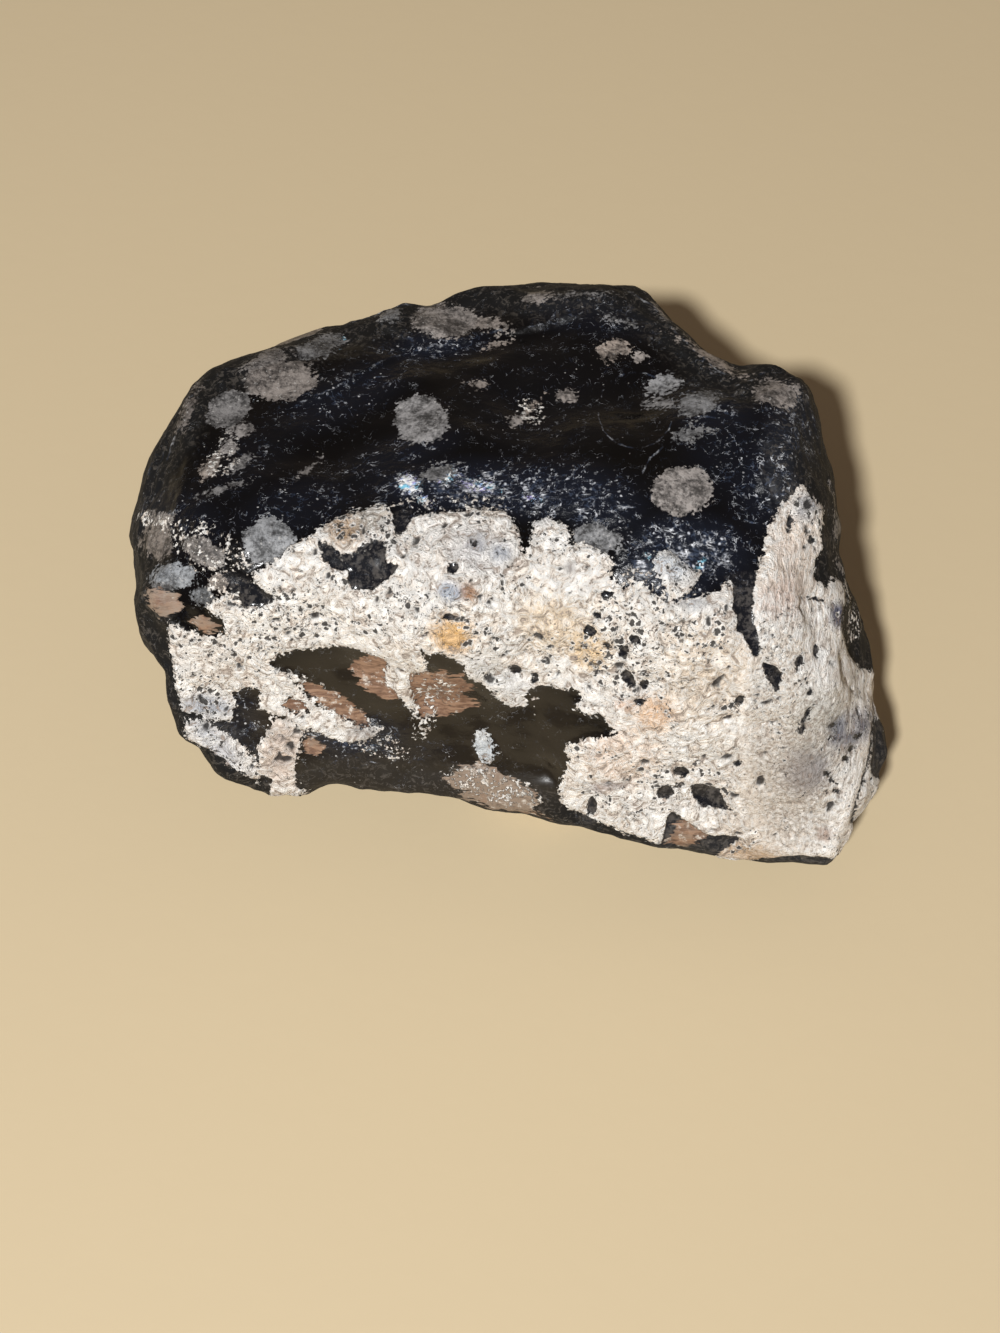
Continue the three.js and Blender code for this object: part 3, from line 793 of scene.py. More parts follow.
class Skin:
    """The vertices of the stone as arrays, with the markings that lie on them."""

    def __init__(self, mesh, settings):
        self.carried = vectors_of(mesh.vertices, "co")
        self.normals = vectors_of(mesh.vertices, "normal")
        self.points = self.carried
        self.middle = (self.points.min(axis=0) + self.points.max(axis=0)) / 2
        self.pixels = pixels_of(self.points, settings)
        self.to_eye = np.array(settings.camera_place) - self.points
        self.to_eye /= np.linalg.norm(self.to_eye, axis=1)[:, None]
        self.facing = np.einsum("ij,ij->i", self.to_eye, self.normals)
        self.seen = self.facing > FACING_LIMIT
        self.nearest_seen, self.beyond = self.find_nearest_seen()
        count = len(self.points)
        self.flake = np.full(count, FAR_OUTSIDE)
        self.brown = np.full(count, FAR_OUTSIDE)
        self.warmth = np.zeros(count)
        self.lightness = np.zeros(count)
        self.stain = np.zeros((count, 4))

    def find_nearest_seen(self):
        """For each vertex the nearest one that the photograph shows, and how far off that is in mm."""
        tree = tree_of(self.points, np.flatnonzero(self.seen))
        nearest = np.arange(len(self.points))
        beyond = np.zeros(len(self.points))
        for i in np.flatnonzero(~self.seen):
            _, nearest[i], distance = tree.find(self.points[i])
            beyond[i] = distance / MM
        return nearest, beyond

    def carried_round(self, depth, closing):
        """Markings of the seen side, carried round the rim and closed a little way beyond it."""
        return depth[self.nearest_seen] - closing * self.beyond

    def cover(self, spot, fade):
        """How far a spot covers each vertex, from 0 to 1."""
        half = min(spot[2:4]) / PIXELS_PER_MM
        return smooth_step(fade[0] * half, fade[1] * half, spot_depth(self.pixels, *spot))

    def strongest(self, rows, fade):
        """The strongest of some spots at each vertex; each row ends with the spot's strength."""
        return np.max([strength * self.cover(spot, fade) for *spot, strength in rows.values()], axis=0)

    def at(self, azimuth, elevation):
        """The point of the skin that is met along a way from the middle."""
        outward = self.points - self.middle
        outward /= np.linalg.norm(outward, axis=1)[:, None]
        return self.points[np.argmax(outward @ way(azimuth, elevation))]

    def patch_depth(self, centre, radius):
        """How far inside a round patch of the skin each vertex lies, in mm."""
        return radius - np.linalg.norm(self.points - centre, axis=1) / MM

    def scatter(self, seed, count, smallest, largest):
        """Seeded centres on the unseen skin, each with a radius in mm."""
        draw = random.Random(seed)
        hidden = np.flatnonzero(self.beyond > FAR_FROM_SEEN)
        return [(self.points[draw.choice(hidden)], draw.uniform(smallest, largest)) for _ in range(count)]

    def lay_crust(self):
        """The pale crust: its outlines less its windows, and its far patches."""
        depth = np.max([outline_depth(self.pixels, corners) for corners in CRUST_OUTLINES.values()], axis=0)
        bare = [outline_depth(self.pixels, corners) for corners in BARE_OUTLINES.values()]
        bare += [spot_depth(self.pixels, *spot) for spot in BARE_SPOTS.values()]
        bare = np.max(bare, axis=0)
        strewn = np.max([spot_depth(self.pixels, *spot) for spot in STREWN.values()], axis=0)
        depth = np.maximum(np.minimum(depth, -bare), np.minimum(strewn, STREWN_DEPTH))
        self.crust = self.carried_round(depth, CRUST_CLOSING)
        unseen = np.flatnonzero(~self.seen)
        places = self.points[unseen] / MM / FAR_WAVE_LENGTH
        waves = np.array([noise.fractal(Vector(place), *FRACTAL, WAVE_OCTAVES) for place in places])
        for azimuth, elevation, radius in FAR_CRUST.values():
            far = self.patch_depth(self.at(azimuth, elevation), radius)[unseen] + FAR_WAVE_DEPTH * waves
            self.crust[unseen] = np.maximum(self.crust[unseen], far)
        self.crisp = np.where(self.seen, smooth_step(*CRISP_FADE, bare), 0)
        riddled = np.where(self.seen, self.strongest(RIDDLED, RIDDLED_FADE), 0)
        self.riddled = np.maximum(riddled, RIDDLED_ANYWHERE)
        fibre = smooth_step(*FIBRE_FADE, spot_depth(self.pixels, *FIBROUS_END))
        self.fibre = np.clip(self.carried_round(fibre, FIBRE_CLOSING), 0, 1)

    def lay_flake(self, depth, where, warmth, lightness):
        """One snowflake over those before it."""
        nearer = (depth > self.flake) & where
        self.flake[nearer] = depth[nearer]
        self.warmth[nearer] = warmth
        self.lightness[nearer] = lightness

    def lay_flakes(self):
        """Snowflakes in the glass, and the brown flakes in the low window."""
        for *spot, warmth, lightness in SNOWFLAKES.values():
            self.lay_flake(spot_depth(self.pixels, *spot), True, warmth, lightness)
        self.flake = self.carried_round(self.flake, FLAKE_CLOSING)
        draw = random.Random(FAR_FLAKES["seed"] + 1)
        for centre, radius in self.scatter(**FAR_FLAKES):
            depth = self.patch_depth(centre, radius)
            self.lay_flake(depth, ~self.seen, draw.random(), draw.uniform(*FAR_LIGHTNESS))
        for name, (lightness, rust, corners) in BROWN_FLAKES.items():
            depth = outline_depth(self.pixels, corners)
            if name in FLAKES_IN_CRUST:
                self.crust = np.minimum(self.crust, -depth)
            nearer = depth > self.brown
            self.brown[nearer] = depth[nearer]
            tinted = nearer & (depth > BROWN_MARGIN)
            self.lightness[tinted] = lightness
            self.warmth[tinted] = rust
        self.brown = self.carried_round(self.brown, FLAKE_CLOSING)

    def lay_stains(self):
        """Stains in the crust: a colour and how strong it is."""
        for *spot, colour, strength in STAINS.values():
            here = np.where(self.seen, strength * self.cover(spot, STAIN_FADE), 0)
            total = here + self.stain[:, 3] * (1 - here)
            share = (here / np.maximum(total, LEAST_STAIN))[:, None]
            linear = np.array(colour) ** SCREEN_GAMMA
            self.stain[:, :3] += (linear - self.stain[:, :3]) * share
            self.stain[:, 3] = total

    def lay_bruises_and_painted_light(self):
        """Where the glass is bruised, with its painted sparkle, where it has painted glints, and where the
        low window has its painted reflection of the floor, from 0 to 1.
        """
        bruise_and_sparkle = self.carried_round(self.strongest(BRUISES_AND_SPARKLE, BRUISE_FADE), BRUISE_CLOSING)
        self.bruise_and_sparkle = np.maximum(bruise_and_sparkle, 0)
        for centre, radius in self.scatter(**FAR_BRUISES_AND_SPARKLE):
            depth = self.patch_depth(centre, radius)
            here = FAR_BRUISE_STRENGTH * smooth_step(0, FAR_BRUISE_RISE * radius, depth)
            self.bruise_and_sparkle = np.maximum(self.bruise_and_sparkle, np.where(self.seen, 0, here))
        self.painted_glint = np.where(self.seen, self.strongest(PAINTED_GLINTS, PAINTED_GLINT_FADE), 0)
        # The low window, which gets a painted reflection of the floor
        self.window = np.where(self.seen, smooth_step(*WINDOW_FADE, spot_depth(self.pixels, *LOW_WINDOW)), 0)

    def lay_ledges(self):
        """Lays the distance to the ledges and the round scar, for the painted highlights along them; gives
        how far the glass drops there, in mm.
        """
        across, down, radius, depth = MOON
        line = spot_depth(self.pixels, across, down, radius, radius, 0)
        inside = line * PIXELS_PER_MM / radius
        drop = depth * np.sqrt(np.clip(inside * (2 - inside), 0, 1)) * (inside > 0)
        for height, corners in LEDGES.values():
            corners = np.array(corners, float)
            distance, side = nearest_on_edges(self.pixels, corners[:-1], corners[1:])
            distance = distance / PIXELS_PER_MM
            below = smooth_step(0, LEDGE_DROP, distance) * (1 - smooth_step(LEDGE_DROP, LEDGE_RUN, distance))
            drop += height * np.where(side > 0, below, 0)
            nearer = distance < np.abs(line)
            line[nearer] = (distance * side)[nearer]
        self.ledge_highlight = np.where(self.seen, line, FAR_FROM_LEDGES)
        return np.where(self.seen, drop, 0)

    def rim_lift(self, shape):
        """How far each vertex is drawn towards the eye, in mm: most at the rim, less inwards from it."""
        flat = np.column_stack([self.pixels, np.zeros(len(self.pixels))])
        tree = tree_of(flat, np.flatnonzero(np.abs(self.facing) < RIM_FACING))
        inward = np.array([tree.find(pixel)[2] for pixel in flat]) / PIXELS_PER_MM
        share = np.clip(1 - inward * MM / shape.rim_width, 0, 1) ** RIM_CURVE
        self.rim = smooth_step(RIM_ROUGH_TO, RIM_ROUGH_FROM, inward)
        return np.maximum(shape.rim_lift / MM, self.strongest(RIM_LIFTS, RIM_LIFT_FADE)) * share

    def shape_rim(self, shape, settings):
        """Draws the rim towards the eye and swells the outline; markings are laid on the form after it."""
        swell = sum(height * self.cover(spot, SWELL_FADE) for *spot, height in SWELLS.values())
        lifted = self.rim_lift(shape)[:, None] * self.to_eye
        self.points = self.points + (lifted + swell[:, None] * self.normals) * MM
        self.pixels = pixels_of(self.points, settings)

    def bubble(self, place, spacing):
        """How deep in a bubble of the crust a place is, from 0 to 1."""
        bent = place + BEND * noise.noise_vector(place / BEND_SCALE)
        apart, centres = noise.voronoi(bent / spacing)
        reach = BUBBLE_REACH + BUBBLE_VARIETY * noise.noise(centres[0] * BUBBLE_SHUFFLE)
        reach += BUBBLE_PATCHES * noise.noise(place / PATCH_SCALE)
        return max(0.0, 1 - apart[0] / reach) if reach > BUBBLE_LEAST else 0.0

    def knock(self, place, bruise_and_sparkle):
        """How far the knocks raise or sink the glass at a place, from about -1 to 1."""
        broad, _ = noise.voronoi(place / BROAD_KNOCK_SCALE)
        small, _ = noise.voronoi(place / SMALL_KNOCK_SCALE + KNOCK_SHIFT)
        weight = SMALL_KNOCK_WEIGHT + BRUISED_KNOCK_WEIGHT * bruise_and_sparkle
        return BROAD_KNOCK_WEIGHT * (broad[0] - 0.5) + weight * (small[0] - 0.5)

    def relief(self, shape):
        """How far each vertex stands out along its normal, in mm; also lays the pits, from 0 to 1."""
        in_crust = smooth_step(*CRUST_RELIEF_FADE, self.crust)
        in_flake = smooth_step(*FLAKE_RELIEF_FADE, self.flake) * (1 - in_crust)
        bubbles = np.zeros(len(self.points))
        lumps = np.zeros(len(self.points))
        knocks = np.zeros(len(self.points))
        noise.seed_set(BEND_SEED)
        for i, point in enumerate(self.points / MM):
            place = Vector(point)
            if in_crust[i] > 0:
                bubbles[i] = self.bubble(place, shape.pit_spacing / MM)
                lumps[i] = noise.fractal(place / LUMP_SCALE, *FRACTAL, LUMP_OCTAVES)
            if in_crust[i] < 1:
                knocks[i] = self.knock(place, self.bruise_and_sparkle[i])
        bubbles = smooth_step(0, BUBBLE_FULL, bubbles)
        crust = shape.crust_lift / MM + LUMP_HEIGHT * lumps - shape.pit_depth / MM * bubbles
        knocks *= (1 - KNOCKS_LOST_IN_FLAKES * in_flake) * (1 + KNOCKS_GAINED_AT_RIM * self.rim)
        glass = shape.knock_depth / MM * knocks + FLAKE_HEIGHT * in_flake - self.lay_ledges()
        self.pits = bubbles * in_crust
        return in_crust * crust + (1 - in_crust) * glass

    def store(self, mesh):
        """The markings as attributes that the finish reads."""
        for name in MARKINGS:
            layer = mesh.attributes.new(name, "FLOAT", "POINT")
            layer.data.foreach_set("value", getattr(self, name).astype(np.float32))
        layer = mesh.attributes.new("stain", "FLOAT_COLOR", "POINT")
        layer.data.foreach_set("color", self.stain.astype(np.float32).ravel())


def carried_form(shape):
    """A fine even mesh of the carried solid's form, with its facets smoothed away."""
    fine = bmesh.new()
    fine.from_mesh(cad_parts[CAD_NODE].data)
    bmesh.ops.remove_doubles(fine, verts=fine.verts, dist=MERGE_DISTANCE)
    mesh = bpy.data.meshes.new("snowflake_obsidian")
    fine.to_mesh(mesh)
    fine.free()
    mesh.materials.clear()
    stone = bpy.data.objects.new("snowflake_obsidian", mesh)
    bpy.context.scene.collection.objects.link(stone)
    remesh = stone.modifiers.new("even mesh", "REMESH")
    remesh.mode = "VOXEL"
    remesh.voxel_size = shape.grid
    bpy.context.view_layer.update()
    evaluated = stone.evaluated_get(bpy.context.evaluated_depsgraph_get())
    even = bpy.data.meshes.new_from_object(evaluated)
    stone.modifiers.clear()
    stone.data = even
    even.name = "snowflake_obsidian"
    smooth_without_shrinking(even, shape.rounding)
    return stone


def smooth_without_shrinking(mesh, rounds):
    """Evens out a mesh: each round draws every vertex to its neighbours' middle, then a little more back."""
    points = vectors_of(mesh.vertices, "co")
    edges = np.empty(len(mesh.edges) * 2, np.int32)
    mesh.edges.foreach_get("vertices", edges)
    ones, others = edges.reshape(-1, 2).T
    valence = np.bincount(edges, minlength=len(points))[:, None]
    for _ in range(rounds):
        for pull in SMOOTHING_PULLS:
            total = np.zeros_like(points)
            np.add.at(total, ones, points[others])
            np.add.at(total, others, points[ones])
            points += pull * (total / valence - points)
    mesh.vertices.foreach_set("co", points.ravel())
    mesh.update()


def rest_on_the_floor(points, before):
    """Keeps the worn foot flat: relief fades to nothing where the skin meets the floor."""
    fade = smooth_step(*FOOT_FADE, before[:, 2] / MM)[:, None]
    points = before + (points - before) * fade
    points[:, 2] = np.maximum(points[:, 2], 0)
    return points


class Finish:
    """Builds one node material, a few nodes at a time. Sizes are in mm."""

    def __init__(self, name):
        self.material = bpy.data.materials.new(name)
        self.material.use_nodes = True
        self.tree = self.material.node_tree
        self.tree.nodes.clear()
        self.place = self.node("ShaderNodeTexCoord").outputs["Object"]

    def node(self, kind, **settings):
        """A new node with its settings."""
        made = self.tree.nodes.new(kind)
        for name, value in settings.items():
            setattr(made, name, value)
        return made

    def feed(self, socket, value):
        """A link or a plain value into a socket."""
        if isinstance(value, bpy.types.NodeSocket):
            self.tree.links.new(value, socket)
        elif hasattr(socket.default_value, "__len__") and len(socket.default_value) == 4 and len(value) == 3:
            socket.default_value = (*value, 1)
        else:
            socket.default_value = value

    def fed(self, made, sockets, values, output=0):
        """A node's output, with values fed to some of its sockets."""
        for socket, value in zip(sockets, values):
            self.feed(made.inputs[socket], value)
        return made.outputs[output]

    def attribute(self, name, output="Fac"):
        """A marking that the mesh carries."""
        return self.node("ShaderNodeAttribute", attribute_name=name).outputs[output]

    def maths(self, operation, *values, clamp=False):
        """One sum."""
        made = self.node("ShaderNodeMath", operation=operation, use_clamp=clamp)
        return self.fed(made, range(len(values)), values)

    def times(self, first, second, clamp=False):
        """A product."""
        return self.maths("MULTIPLY", first, second, clamp=clamp)

    def minus(self, first, second):
        """A difference."""
        return self.maths("SUBTRACT", first, second)

    def most(self, first, second):
        """The greater of two."""
        return self.maths("MAXIMUM", first, second)

    def times_plus(self, value, factor, added):
        """A value times a factor plus another."""
        return self.maths("MULTIPLY_ADD", value, factor, added)

    def above(self, value, limit, gain):
        """0 up to a limit, then a rise by the gain, up to 1."""
        return self.times(self.minus(value, limit), gain, clamp=True)

    def mapped(self, stretch, turn):
        """Object coordinates, turned and stretched."""
        made = self.node("ShaderNodeMapping")
        angles = [math.radians(degrees) for degrees in turn]
        return self.fed(made, ("Vector", "Rotation", "Scale"), (self.place, angles, stretch))

    def noise(self, size, detail=3.0, roughness=0.55, distortion=0.0, place=None, output="Fac"):
        """Cloudy noise from 0 to 1 with lumps of about that size."""
        made = self.node("ShaderNodeTexNoise")
        sockets = ("Vector", "Scale", "Detail", "Roughness", "Distortion")
        values = (place or self.place, 1 / (size * MM), detail, roughness, distortion)
        return self.fed(made, sockets, values, output)

    def cells(self, size, output="Distance", place=None):
        """Cells of about that size: the distance to their middles, or a colour for each."""
        made = self.node("ShaderNodeTexVoronoi")
        return self.fed(made, ("Vector", "Scale"), (place or self.place, 1 / (size * MM)), output)

    def step(self, value, low, high):
        """0 at low and 1 at high, with a smooth rise between."""
        made = self.node("ShaderNodeMapRange", interpolation_type="SMOOTHSTEP")
        return self.fed(made, ("Value", "From Min", "From Max"), (value, low, high), "Result")

    def blend(self, factor, first, second):
        """One colour over another."""
        made = self.node("ShaderNodeMix", data_type="RGBA")
        return self.fed(made, ("Factor", 6, 7), (factor, first, second), 2)

    def between(self, factor, first, second):
        """One number over another."""
        made = self.node("ShaderNodeMix", data_type="FLOAT")
        return self.fed(made, ("Factor", 2, 3), (factor, first, second))

    def bent(self, size, amount):
        """Object coordinates, pushed about by as many mm."""
        clouds = self.noise(size, 2.0, 0.5, output="Color")
        away = self.node("ShaderNodeVectorMath", operation="SUBTRACT")
        away = self.fed(away, (0, 1), (clouds, (0.5, 0.5, 0.5)))
        moved = self.node("ShaderNodeVectorMath", operation="MULTIPLY_ADD")
        return self.fed(moved, (0, 1, 2), (away, [amount * MM] * 3, self.place))

    def edge(self, depth, wander, crumble, softness, place=None):
        """A ragged mask from a depth in mm: a broad wander and a fine crumble of its edge."""
        broad = self.minus(self.noise(1.7, 4.0, 0.62, place=place), 0.5)
        fine = self.minus(self.noise(0.4, 3.0, 0.6, place=place), 0.5)
        moved = self.times_plus(fine, crumble, self.times_plus(broad, wander, depth))
        return self.step(moved, -softness, softness)

    def finish(self, colour, roughness, height, ior, specular=0.5):
        """The shader with its bump, and the material."""
        bump = self.fed(self.node("ShaderNodeBump"), ("Distance", "Height"), (MM, height))
        shader = self.node("ShaderNodeBsdfPrincipled")
        shader.inputs["IOR"].default_value = ior
        shader.inputs["Specular IOR Level"].default_value = specular
        surface = self.fed(shader, ("Base Color", "Roughness", "Normal"), (colour, roughness, bump))
        self.feed(self.node("ShaderNodeOutputMaterial").inputs["Surface"], surface)
        return self.material


def glass_layer(finish, colours):
    """Bare glass: its colour, roughness and height, with bruises, scratches and dust, and painted sparkle,
    glints, ledge highlights and a painted reflection of the floor in its colour.
    """
    bruise_and_sparkle = finish.attribute("bruise_and_sparkle")
    brown = finish.step(finish.noise(7.0, 2.0), 0.42, 0.6)
    colour = finish.blend(brown, colours.glass, colours.glass_brown)
    # Painted reflection of the floor in the low window, a dull brown in its colour
    colour = finish.blend(finish.attribute("window"), colour, colours.low_window_floor_reflection)
    colour = finish.blend(bruise_and_sparkle, colour, BRUISED_GLASS)
    crumbs = finish.step(finish.noise(0.6, 4.0, 0.7), 0.46, 0.64)
    colour = finish.blend(finish.attribute("crisp"), colour, finish.blend(crumbs, CRUSHED_DARK, CRUSHED_PALE))
    worn = finish.times(finish.step(finish.noise(0.8, 5.0, 0.75, 1.4), 0.52, 0.6), 0.7)
    colour = finish.blend(finish.times(worn, finish.attribute("rim")), colour, RIM_CRUMB)

    # Scratches, cracks and chips of bruised glass, frosted with painted sparkle
    streaks = finish.mapped((0.45, 1.3, 1.3), turn=(0, 0, -28))
    scratch = finish.noise(0.8, 5.0, 0.75, 0.8, streaks)
    sparkling_scratches = finish.above(scratch, finish.between(bruise_and_sparkle, 0.69, 0.495), 14.0)
    sparkling_scratches = finish.times(sparkling_scratches, finish.step(finish.noise(2.4, 3.0), 0.4, 0.6))
    off = finish.maths("ABSOLUTE", finish.minus(finish.noise(1.1, 4.0, 0.6, 0.6), 0.5))
    sparkling_cracks = finish.step(off, finish.between(bruise_and_sparkle, 0.004, 0.055), 0.0)
    sparkling_cracks = finish.times(sparkling_cracks, finish.step(finish.noise(1.6, 3.0, 0.7), 0.47, 0.57))
    sparkling_cracks = finish.times(sparkling_cracks, finish.between(bruise_and_sparkle, 0.5, 1.0))
    sparkling_chips = finish.above(finish.noise(0.95, 5.0, 0.66, 2.2), finish.between(bruise_and_sparkle, 0.74, 0.53), 12.0)
    sparkling_chips = finish.times(sparkling_chips, finish.step(bruise_and_sparkle, 0.3, 0.8))
    # Painted highlight: a thin frosted line along the ledges and the round scar
    ledge_highlight = finish.times_plus(finish.noise(0.8, 3.0, 0.65), 0.5, finish.attribute("ledge_highlight"))
    ledge_highlight = finish.step(finish.maths("ABSOLUTE", finish.minus(ledge_highlight, 0.25)), 0.11, 0.02)
    ledge_highlight = finish.times(ledge_highlight, finish.step(finish.noise(1.5, 3.0), 0.46, 0.6))
    # The painted sparkle also covers the ledge highlights, and makes the glass rougher there
    frost_and_painted_sparkle = finish.most(finish.most(sparkling_scratches, sparkling_chips), sparkling_cracks)
    frost_and_painted_sparkle = finish.most(frost_and_painted_sparkle, finish.times(ledge_highlight, 0.4))
    frost_sparkle_tint = finish.step(finish.noise(0.9, 4.0, 0.7), 0.45, 0.66)
    colour = finish.blend(frost_and_painted_sparkle, colour, finish.blend(frost_sparkle_tint, FROST_SPARKLE_DEEP, FROST_SPARKLE_BRIGHT))

    # Painted glints: bluish-white highlights painted into the glass's colour
    painted_glint_mask = finish.minus(finish.noise(0.38, 4.0, 0.75, 0.8), 0.84)
    painted_glint_mask = finish.times(finish.times_plus(finish.attribute("painted_glint"), 0.50, painted_glint_mask), 8.0, clamp=True)
    painted_glint_tint = finish.blend(finish.step(finish.noise(1.6, 2.0), 0.42, 0.58), PAINTED_GLINT_CYAN, PAINTED_GLINT_VIOLET)
    painted_glint_tint = finish.blend(finish.step(finish.noise(0.5, 3.0), 0.42, 0.58), painted_glint_tint, PAINTED_GLINT_WHITE)
    colour = finish.blend(painted_glint_mask, colour, painted_glint_tint)

    # Pale specks: dust on plain glass, and painted sparkle highlights where the glass is bruised
    grains = finish.bent(0.4, 0.25)
    few = finish.times_plus(finish.attribute("window"), -0.06, finish.between(bruise_and_sparkle, 0.83, 0.60))
    dust_and_painted_sparkles = finish.above(finish.cells(0.5, "Color", grains), few, 6.0)
    near = finish.step(finish.cells(0.5, place=grains), finish.between(bruise_and_sparkle, 0.2, 0.42), 0.1)
    dust_or_sparkle_tint = finish.blend(bruise_and_sparkle, DUST_ON_GLASS, PAINTED_SPARKLE_IN_BRUISE)
    colour = finish.blend(finish.times(dust_and_painted_sparkles, near), colour, dust_or_sparkle_tint)

    roughness = finish.between(finish.noise(2.8, 3.0), SMOOTH_GLASS, DULL_GLASS)
    roughness = finish.between(finish.times(bruise_and_sparkle, 0.7), roughness, BRUISED_ROUGHNESS)
    roughness = finish.between(frost_and_painted_sparkle, roughness, FROSTED_ROUGHNESS)
    roughness = finish.between(finish.attribute("rim"), roughness, RIM_ROUGHNESS)
    height = finish.times(finish.noise(1.9, 2.0, 0.45), 0.07)
    hackle = finish.cells(0.62, place=finish.bent(0.8, 0.3))
    height = finish.times_plus(hackle, finish.between(bruise_and_sparkle, 0.01, 0.16), height)
    height = finish.times_plus(scratch, finish.between(bruise_and_sparkle, 0.02, 0.12), height)
    return colour, roughness, height


def flake_layer(finish, colours):
    """A grey snowflake: fine fibres, pale specks and dark grains."""
    grain = finish.noise(0.38, 5.0, 0.72)
    tone = finish.times_plus(finish.noise(1.6, 3.0), 0.6, finish.times(grain, 0.7))
    shade = finish.between(finish.step(tone, 0.5, 0.8), 0.28, 2.0)
    shade = finish.times(shade, finish.between(finish.attribute("lightness"), 0.25, 1.7))
    colour = finish.blend(finish.attribute("warmth"), colours.flake_cool, colours.flake_warm)
    colour = finish.fed(finish.node("ShaderNodeVectorMath", operation="SCALE"), (0, "Scale"), (colour, shade))
    speck = finish.step(finish.noise(0.3, 3.0, 0.7), 0.6, 0.7)
    colour = finish.blend(finish.times(speck, 0.7), colour, FLAKE_SPECK)
    dark = finish.step(finish.noise(0.6, 5.0, 0.75), 0.44, 0.37)
    colour = finish.blend(finish.times(dark, 0.7), colour, FLAKE_GRAIN)
    return colour, finish.times(grain, 0.12)


def brown_layer(finish, colours, needles):
    """A brown flake: long fibres, rusty or grey-brown, with white crumbs."""
    fibres = finish.noise(0.5, 4.0, 0.7, 0.4, needles)
    rust = finish.blend(finish.step(fibres, 0.4, 0.6), colours.brown_dark, colours.brown_light)
    patches = finish.maths("ADD", finish.attribute("warmth"), finish.minus(finish.noise(1.5, 3.0), 0.75))
    colour = finish.blend(finish.times(patches, 4.0, clamp=True), colours.brown_grey, rust)
    dark = finish.step(finish.noise(0.45, 4.0, 0.7, place=needles), 0.42, 0.34)
    colour = finish.blend(finish.times(dark, 0.7), colour, BROWN_GRAIN)
    rarity = finish.between(finish.attribute("lightness"), 0.74, 0.43)
    crumbs = finish.above(finish.noise(0.9, 5.0, 0.75), rarity, 10.0)
    colour = finish.blend(finish.times(crumbs, 0.85), colour, BROWN_CRUMB)
    return colour, finish.times(fibres, 0.1)


def crust_layer(finish, colours):
    """The crust: cream and white curls, grey hollows, stains, and dark bubbles, whose dark is partly painted
    shade.
    """
    fibre = finish.attribute("fibre")
    riddled = finish.attribute("riddled")
    strands = finish.noise(0.7, 5.0, 0.7, 0.5, finish.mapped((1.6, 0.4, 1.6), turn=(-30, 0, 0)))
    grain = finish.between(fibre, finish.noise(1.1, 5.0, 0.68, 1.6), strands)
    blotch = finish.noise(4.5, 3.0, 0.6)
    colour = finish.blend(finish.step(blotch, 0.38, 0.62), colours.crust_cream, colours.crust_pale)
    strength = finish.times(finish.attribute("stain", "Alpha"), finish.step(blotch, 0.05, 0.52))
    colour = finish.blend(strength, colour, finish.attribute("stain", "Color"))
    whites = finish.times(finish.step(grain, 0.475, 0.55), finish.between(strength, 1.0, 0.12))
    colour = finish.blend(whites, colour, colours.crust_white)
    shade = finish.times(finish.step(grain, 0.46, 0.38), finish.between(fibre, 0.9, 0.75))
    colour = finish.blend(shade, colour, colours.crust_grey)

    bent = finish.bent(0.45, 0.7)
    wanted = finish.times_plus(riddled, 0.2, finish.minus(finish.noise(3.2, 4.0, 0.6), 0.08))
    size = finish.between(finish.step(wanted, 0.46, 0.66), 0.08, 0.6)
    size = finish.times(size, finish.between(fibre, 1.0, 0.62))
    size = finish.times(size, finish.cells(0.65, "Color", bent))
    depth = finish.minus(size, finish.cells(0.65, place=bent))
    wall = finish.times(finish.step(depth, -0.17, -0.05), finish.step(size, 0.1, 0.25))
    colour = finish.blend(finish.times(wall, 0.8), colour, colours.crust_white)
    bubbles = finish.times(depth, 12.0, clamp=True)
    fine = finish.step(finish.noise(0.45, 4.0, 0.7), 0.41, 0.36)
    hollows = finish.step(finish.noise(0.75, 5.0, 0.7, 1.4), 0.43, 0.39)
    hollows = finish.most(fine, finish.times(hollows, riddled))
    hollows = finish.times(hollows, finish.between(finish.step(wanted, 0.42, 0.56), 0.3, 1.0))
    # Dark bubbles, small hollows and pits: their own dark inside, with painted shade where the crust is sunk
    dark = finish.most(finish.most(bubbles, hollows), finish.step(finish.attribute("pits"), 0.25, 0.8))
    colour = finish.blend(finish.times(dark, 0.92), colour, colours.pit)

    height = finish.times_plus(finish.noise(0.25, 2.0), 0.08, finish.times(grain, 0.85))
    return colour, finish.times_plus(bubbles, -0.16, height)


def stone_finish(colours):
    """The whole finish: glass, then snowflakes, brown flakes and crust over it."""
    finish = Finish("snowflake obsidian")
    needles = finish.mapped((0.3, 1.1, 1.1), turn=(0, 0, 8))
    crisp = finish.attribute("crisp")
    wander = finish.between(crisp, 1.1, 0.35)
    crumble = finish.between(crisp, 1.9, 0.7)
    flake = finish.edge(finish.attribute("flake"), 1.6, 1.9, 0.1)
    brown = finish.edge(finish.attribute("brown"), 1.2, 1.6, 0.08, needles)
    crust = finish.edge(finish.attribute("crust"), wander, crumble, 0.06)
    colour, roughness, height = glass_layer(finish, colours)
    for mask, (over, raised), rough in (
        (flake, flake_layer(finish, colours), FLAKE_ROUGHNESS),
        (brown, brown_layer(finish, colours, needles), FLAKE_ROUGHNESS),
        (crust, crust_layer(finish, colours), CRUST_ROUGHNESS),
    ):
        colour = finish.blend(mask, colour, over)
        roughness = finish.between(mask, roughness, rough)
        height = finish.between(mask, height, raised)
    return finish.finish(colour, roughness, height, STONE_IOR, STONE_SPECULAR)


def floor_finish(colour):
    """Plain pale floor."""
    finish = Finish("pale floor")
    height = finish.times(finish.noise(3.0, 2.0), 0.02)
    return finish.finish(tuple(colour), FLOOR_ROUGHNESS, height, FLOOR_IOR)


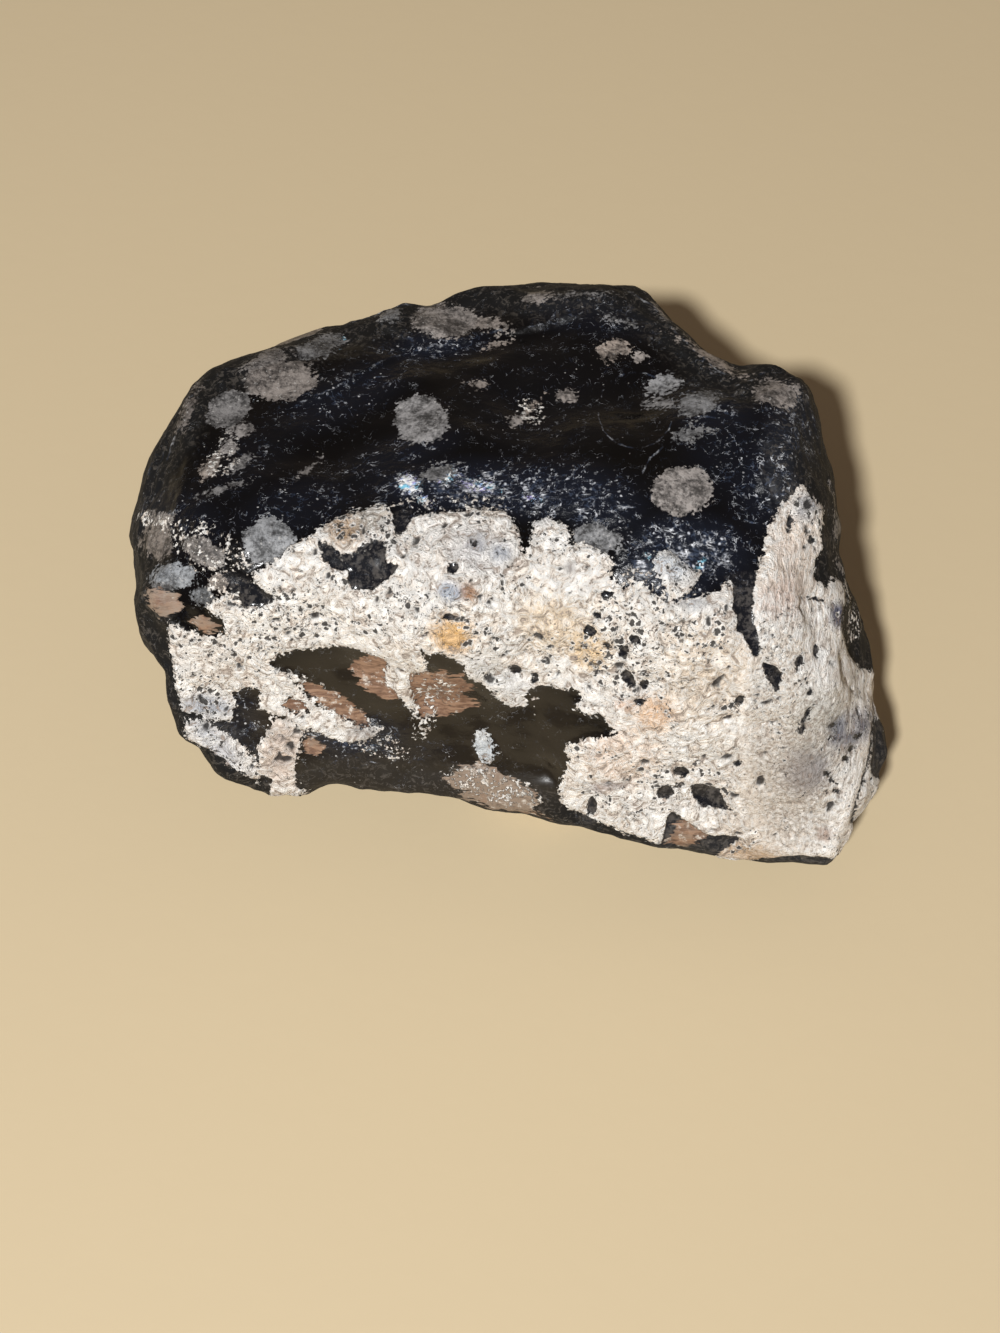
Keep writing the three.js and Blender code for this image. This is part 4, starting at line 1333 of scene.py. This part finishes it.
def soft_light(name, power, size, place, target):
    """A round area light that faces its target."""
    data = bpy.data.lights.new(name, "AREA")
    data.energy = power
    data.shape = "DISK"
    data.size = size
    light = bpy.data.objects.new(name, data)
    light.location = place
    light.rotation_euler = (Vector(target) - Vector(place)).to_track_quat("-Z", "Y").to_euler()
    bpy.context.scene.collection.objects.link(light)


class OBSIDIAN_OT_stone(Operator):
    """Makes the stone: the glass with its snowflakes and its crust"""

    bl_idname = "obsidian.stone"
    bl_label = "Snowflake obsidian"

    def execute(self, context):
        shape = context.scene.stone_shape
        stage = context.scene.stone_stage
        stone = carried_form(shape)
        mesh = stone.data
        skin = Skin(mesh, stage)
        skin.shape_rim(shape, stage)
        skin.lay_crust()
        skin.lay_flakes()
        skin.lay_stains()
        skin.lay_bruises_and_painted_light()
        raised = skin.relief(shape)
        points = rest_on_the_floor(skin.points + skin.normals * raised[:, None] * MM, skin.carried)
        mesh.vertices.foreach_set("co", points.ravel())
        skin.store(mesh)
        mesh.materials.append(stone_finish(context.scene.stone_finish))
        mesh.polygons.foreach_set("use_smooth", [True] * len(mesh.polygons))
        mesh.update()
        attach(stone, STONE_BODY)
        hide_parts(CAD_NODE)
        return {"FINISHED"}


class OBSIDIAN_OT_stage(Operator):
    """Makes the pale floor, the soft light and the camera"""

    bl_idname = "obsidian.stage"
    bl_label = "Stage"

    def execute(self, context):
        scene = context.scene
        settings = scene.stone_stage
        sheet = bmesh.new()
        bmesh.ops.create_grid(sheet, x_segments=1, y_segments=1, size=settings.floor_size / 2)
        mesh = bpy.data.meshes.new("floor")
        sheet.to_mesh(mesh)
        sheet.free()
        mesh.materials.append(floor_finish(settings.floor_colour))
        floor = bpy.data.objects.new("floor", mesh)
        scene.collection.objects.link(floor)

        camera = bpy.data.objects.new("camera", bpy.data.cameras.new("camera"))
        camera.data.lens = settings.lens
        camera.data.sensor_width = SENSOR_WIDTH
        camera.data.clip_start = CLIP_START
        camera.location = settings.camera_place
        camera.rotation_euler = (math.pi / 2 - settings.camera_elevation, 0, 0)
        scene.collection.objects.link(camera)
        scene.camera = camera

        low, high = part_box(CAD_NODE)
        middle = (low + high) / 2
        right, top, ahead = sight_axes(settings)
        lowered = math.cos(settings.key_drop) * ahead + math.sin(settings.key_drop) * top
        beside = -math.cos(settings.key_turn) * lowered - math.sin(settings.key_turn) * right
        place = middle + settings.key_distance * Vector(beside)
        soft_light("key", settings.key_power, settings.key_size, place, middle)

        world = bpy.data.worlds.new("surround")
        world.use_nodes = True
        background = world.node_tree.nodes["Background"]
        background.inputs["Color"].default_value = (*settings.surround, 1)
        scene.world = world
        scene.view_settings.view_transform = "Standard"
        return {"FINISHED"}


class OBSIDIAN_PT_panel(Panel):
    """Lists the pieces and their settings"""

    bl_idname = "OBSIDIAN_PT_panel"
    bl_label = "Snowflake obsidian"
    bl_space_type = "VIEW_3D"
    bl_region_type = "UI"
    bl_category = "Obsidian"

    def draw(self, context):
        scene = context.scene
        for groups, operator in (
            ((scene.stone_shape, scene.stone_finish), OBSIDIAN_OT_stone),
            ((scene.stone_stage,), OBSIDIAN_OT_stage),
        ):
            for group in groups:
                for name in group.__annotations__:
                    self.layout.prop(group, name)
            self.layout.operator(operator.bl_idname)


CLASSES = (StoneShape, StoneFinish, StageSettings, OBSIDIAN_OT_stone, OBSIDIAN_OT_stage, OBSIDIAN_PT_panel)


def register():
    """Adds the classes and their settings."""
    for cls in CLASSES:
        bpy.utils.register_class(cls)
    bpy.types.Scene.stone_shape = PointerProperty(type=StoneShape)
    bpy.types.Scene.stone_finish = PointerProperty(type=StoneFinish)
    bpy.types.Scene.stone_stage = PointerProperty(type=StageSettings)


def unregister():
    """Takes the settings and the classes away again."""
    del bpy.types.Scene.stone_stage
    del bpy.types.Scene.stone_finish
    del bpy.types.Scene.stone_shape
    for cls in reversed(CLASSES):
        bpy.utils.unregister_class(cls)


def main():
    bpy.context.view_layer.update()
    register()
    bpy.ops.obsidian.stage()
    bpy.ops.obsidian.stone()


if __name__ == "__main__":
    main()
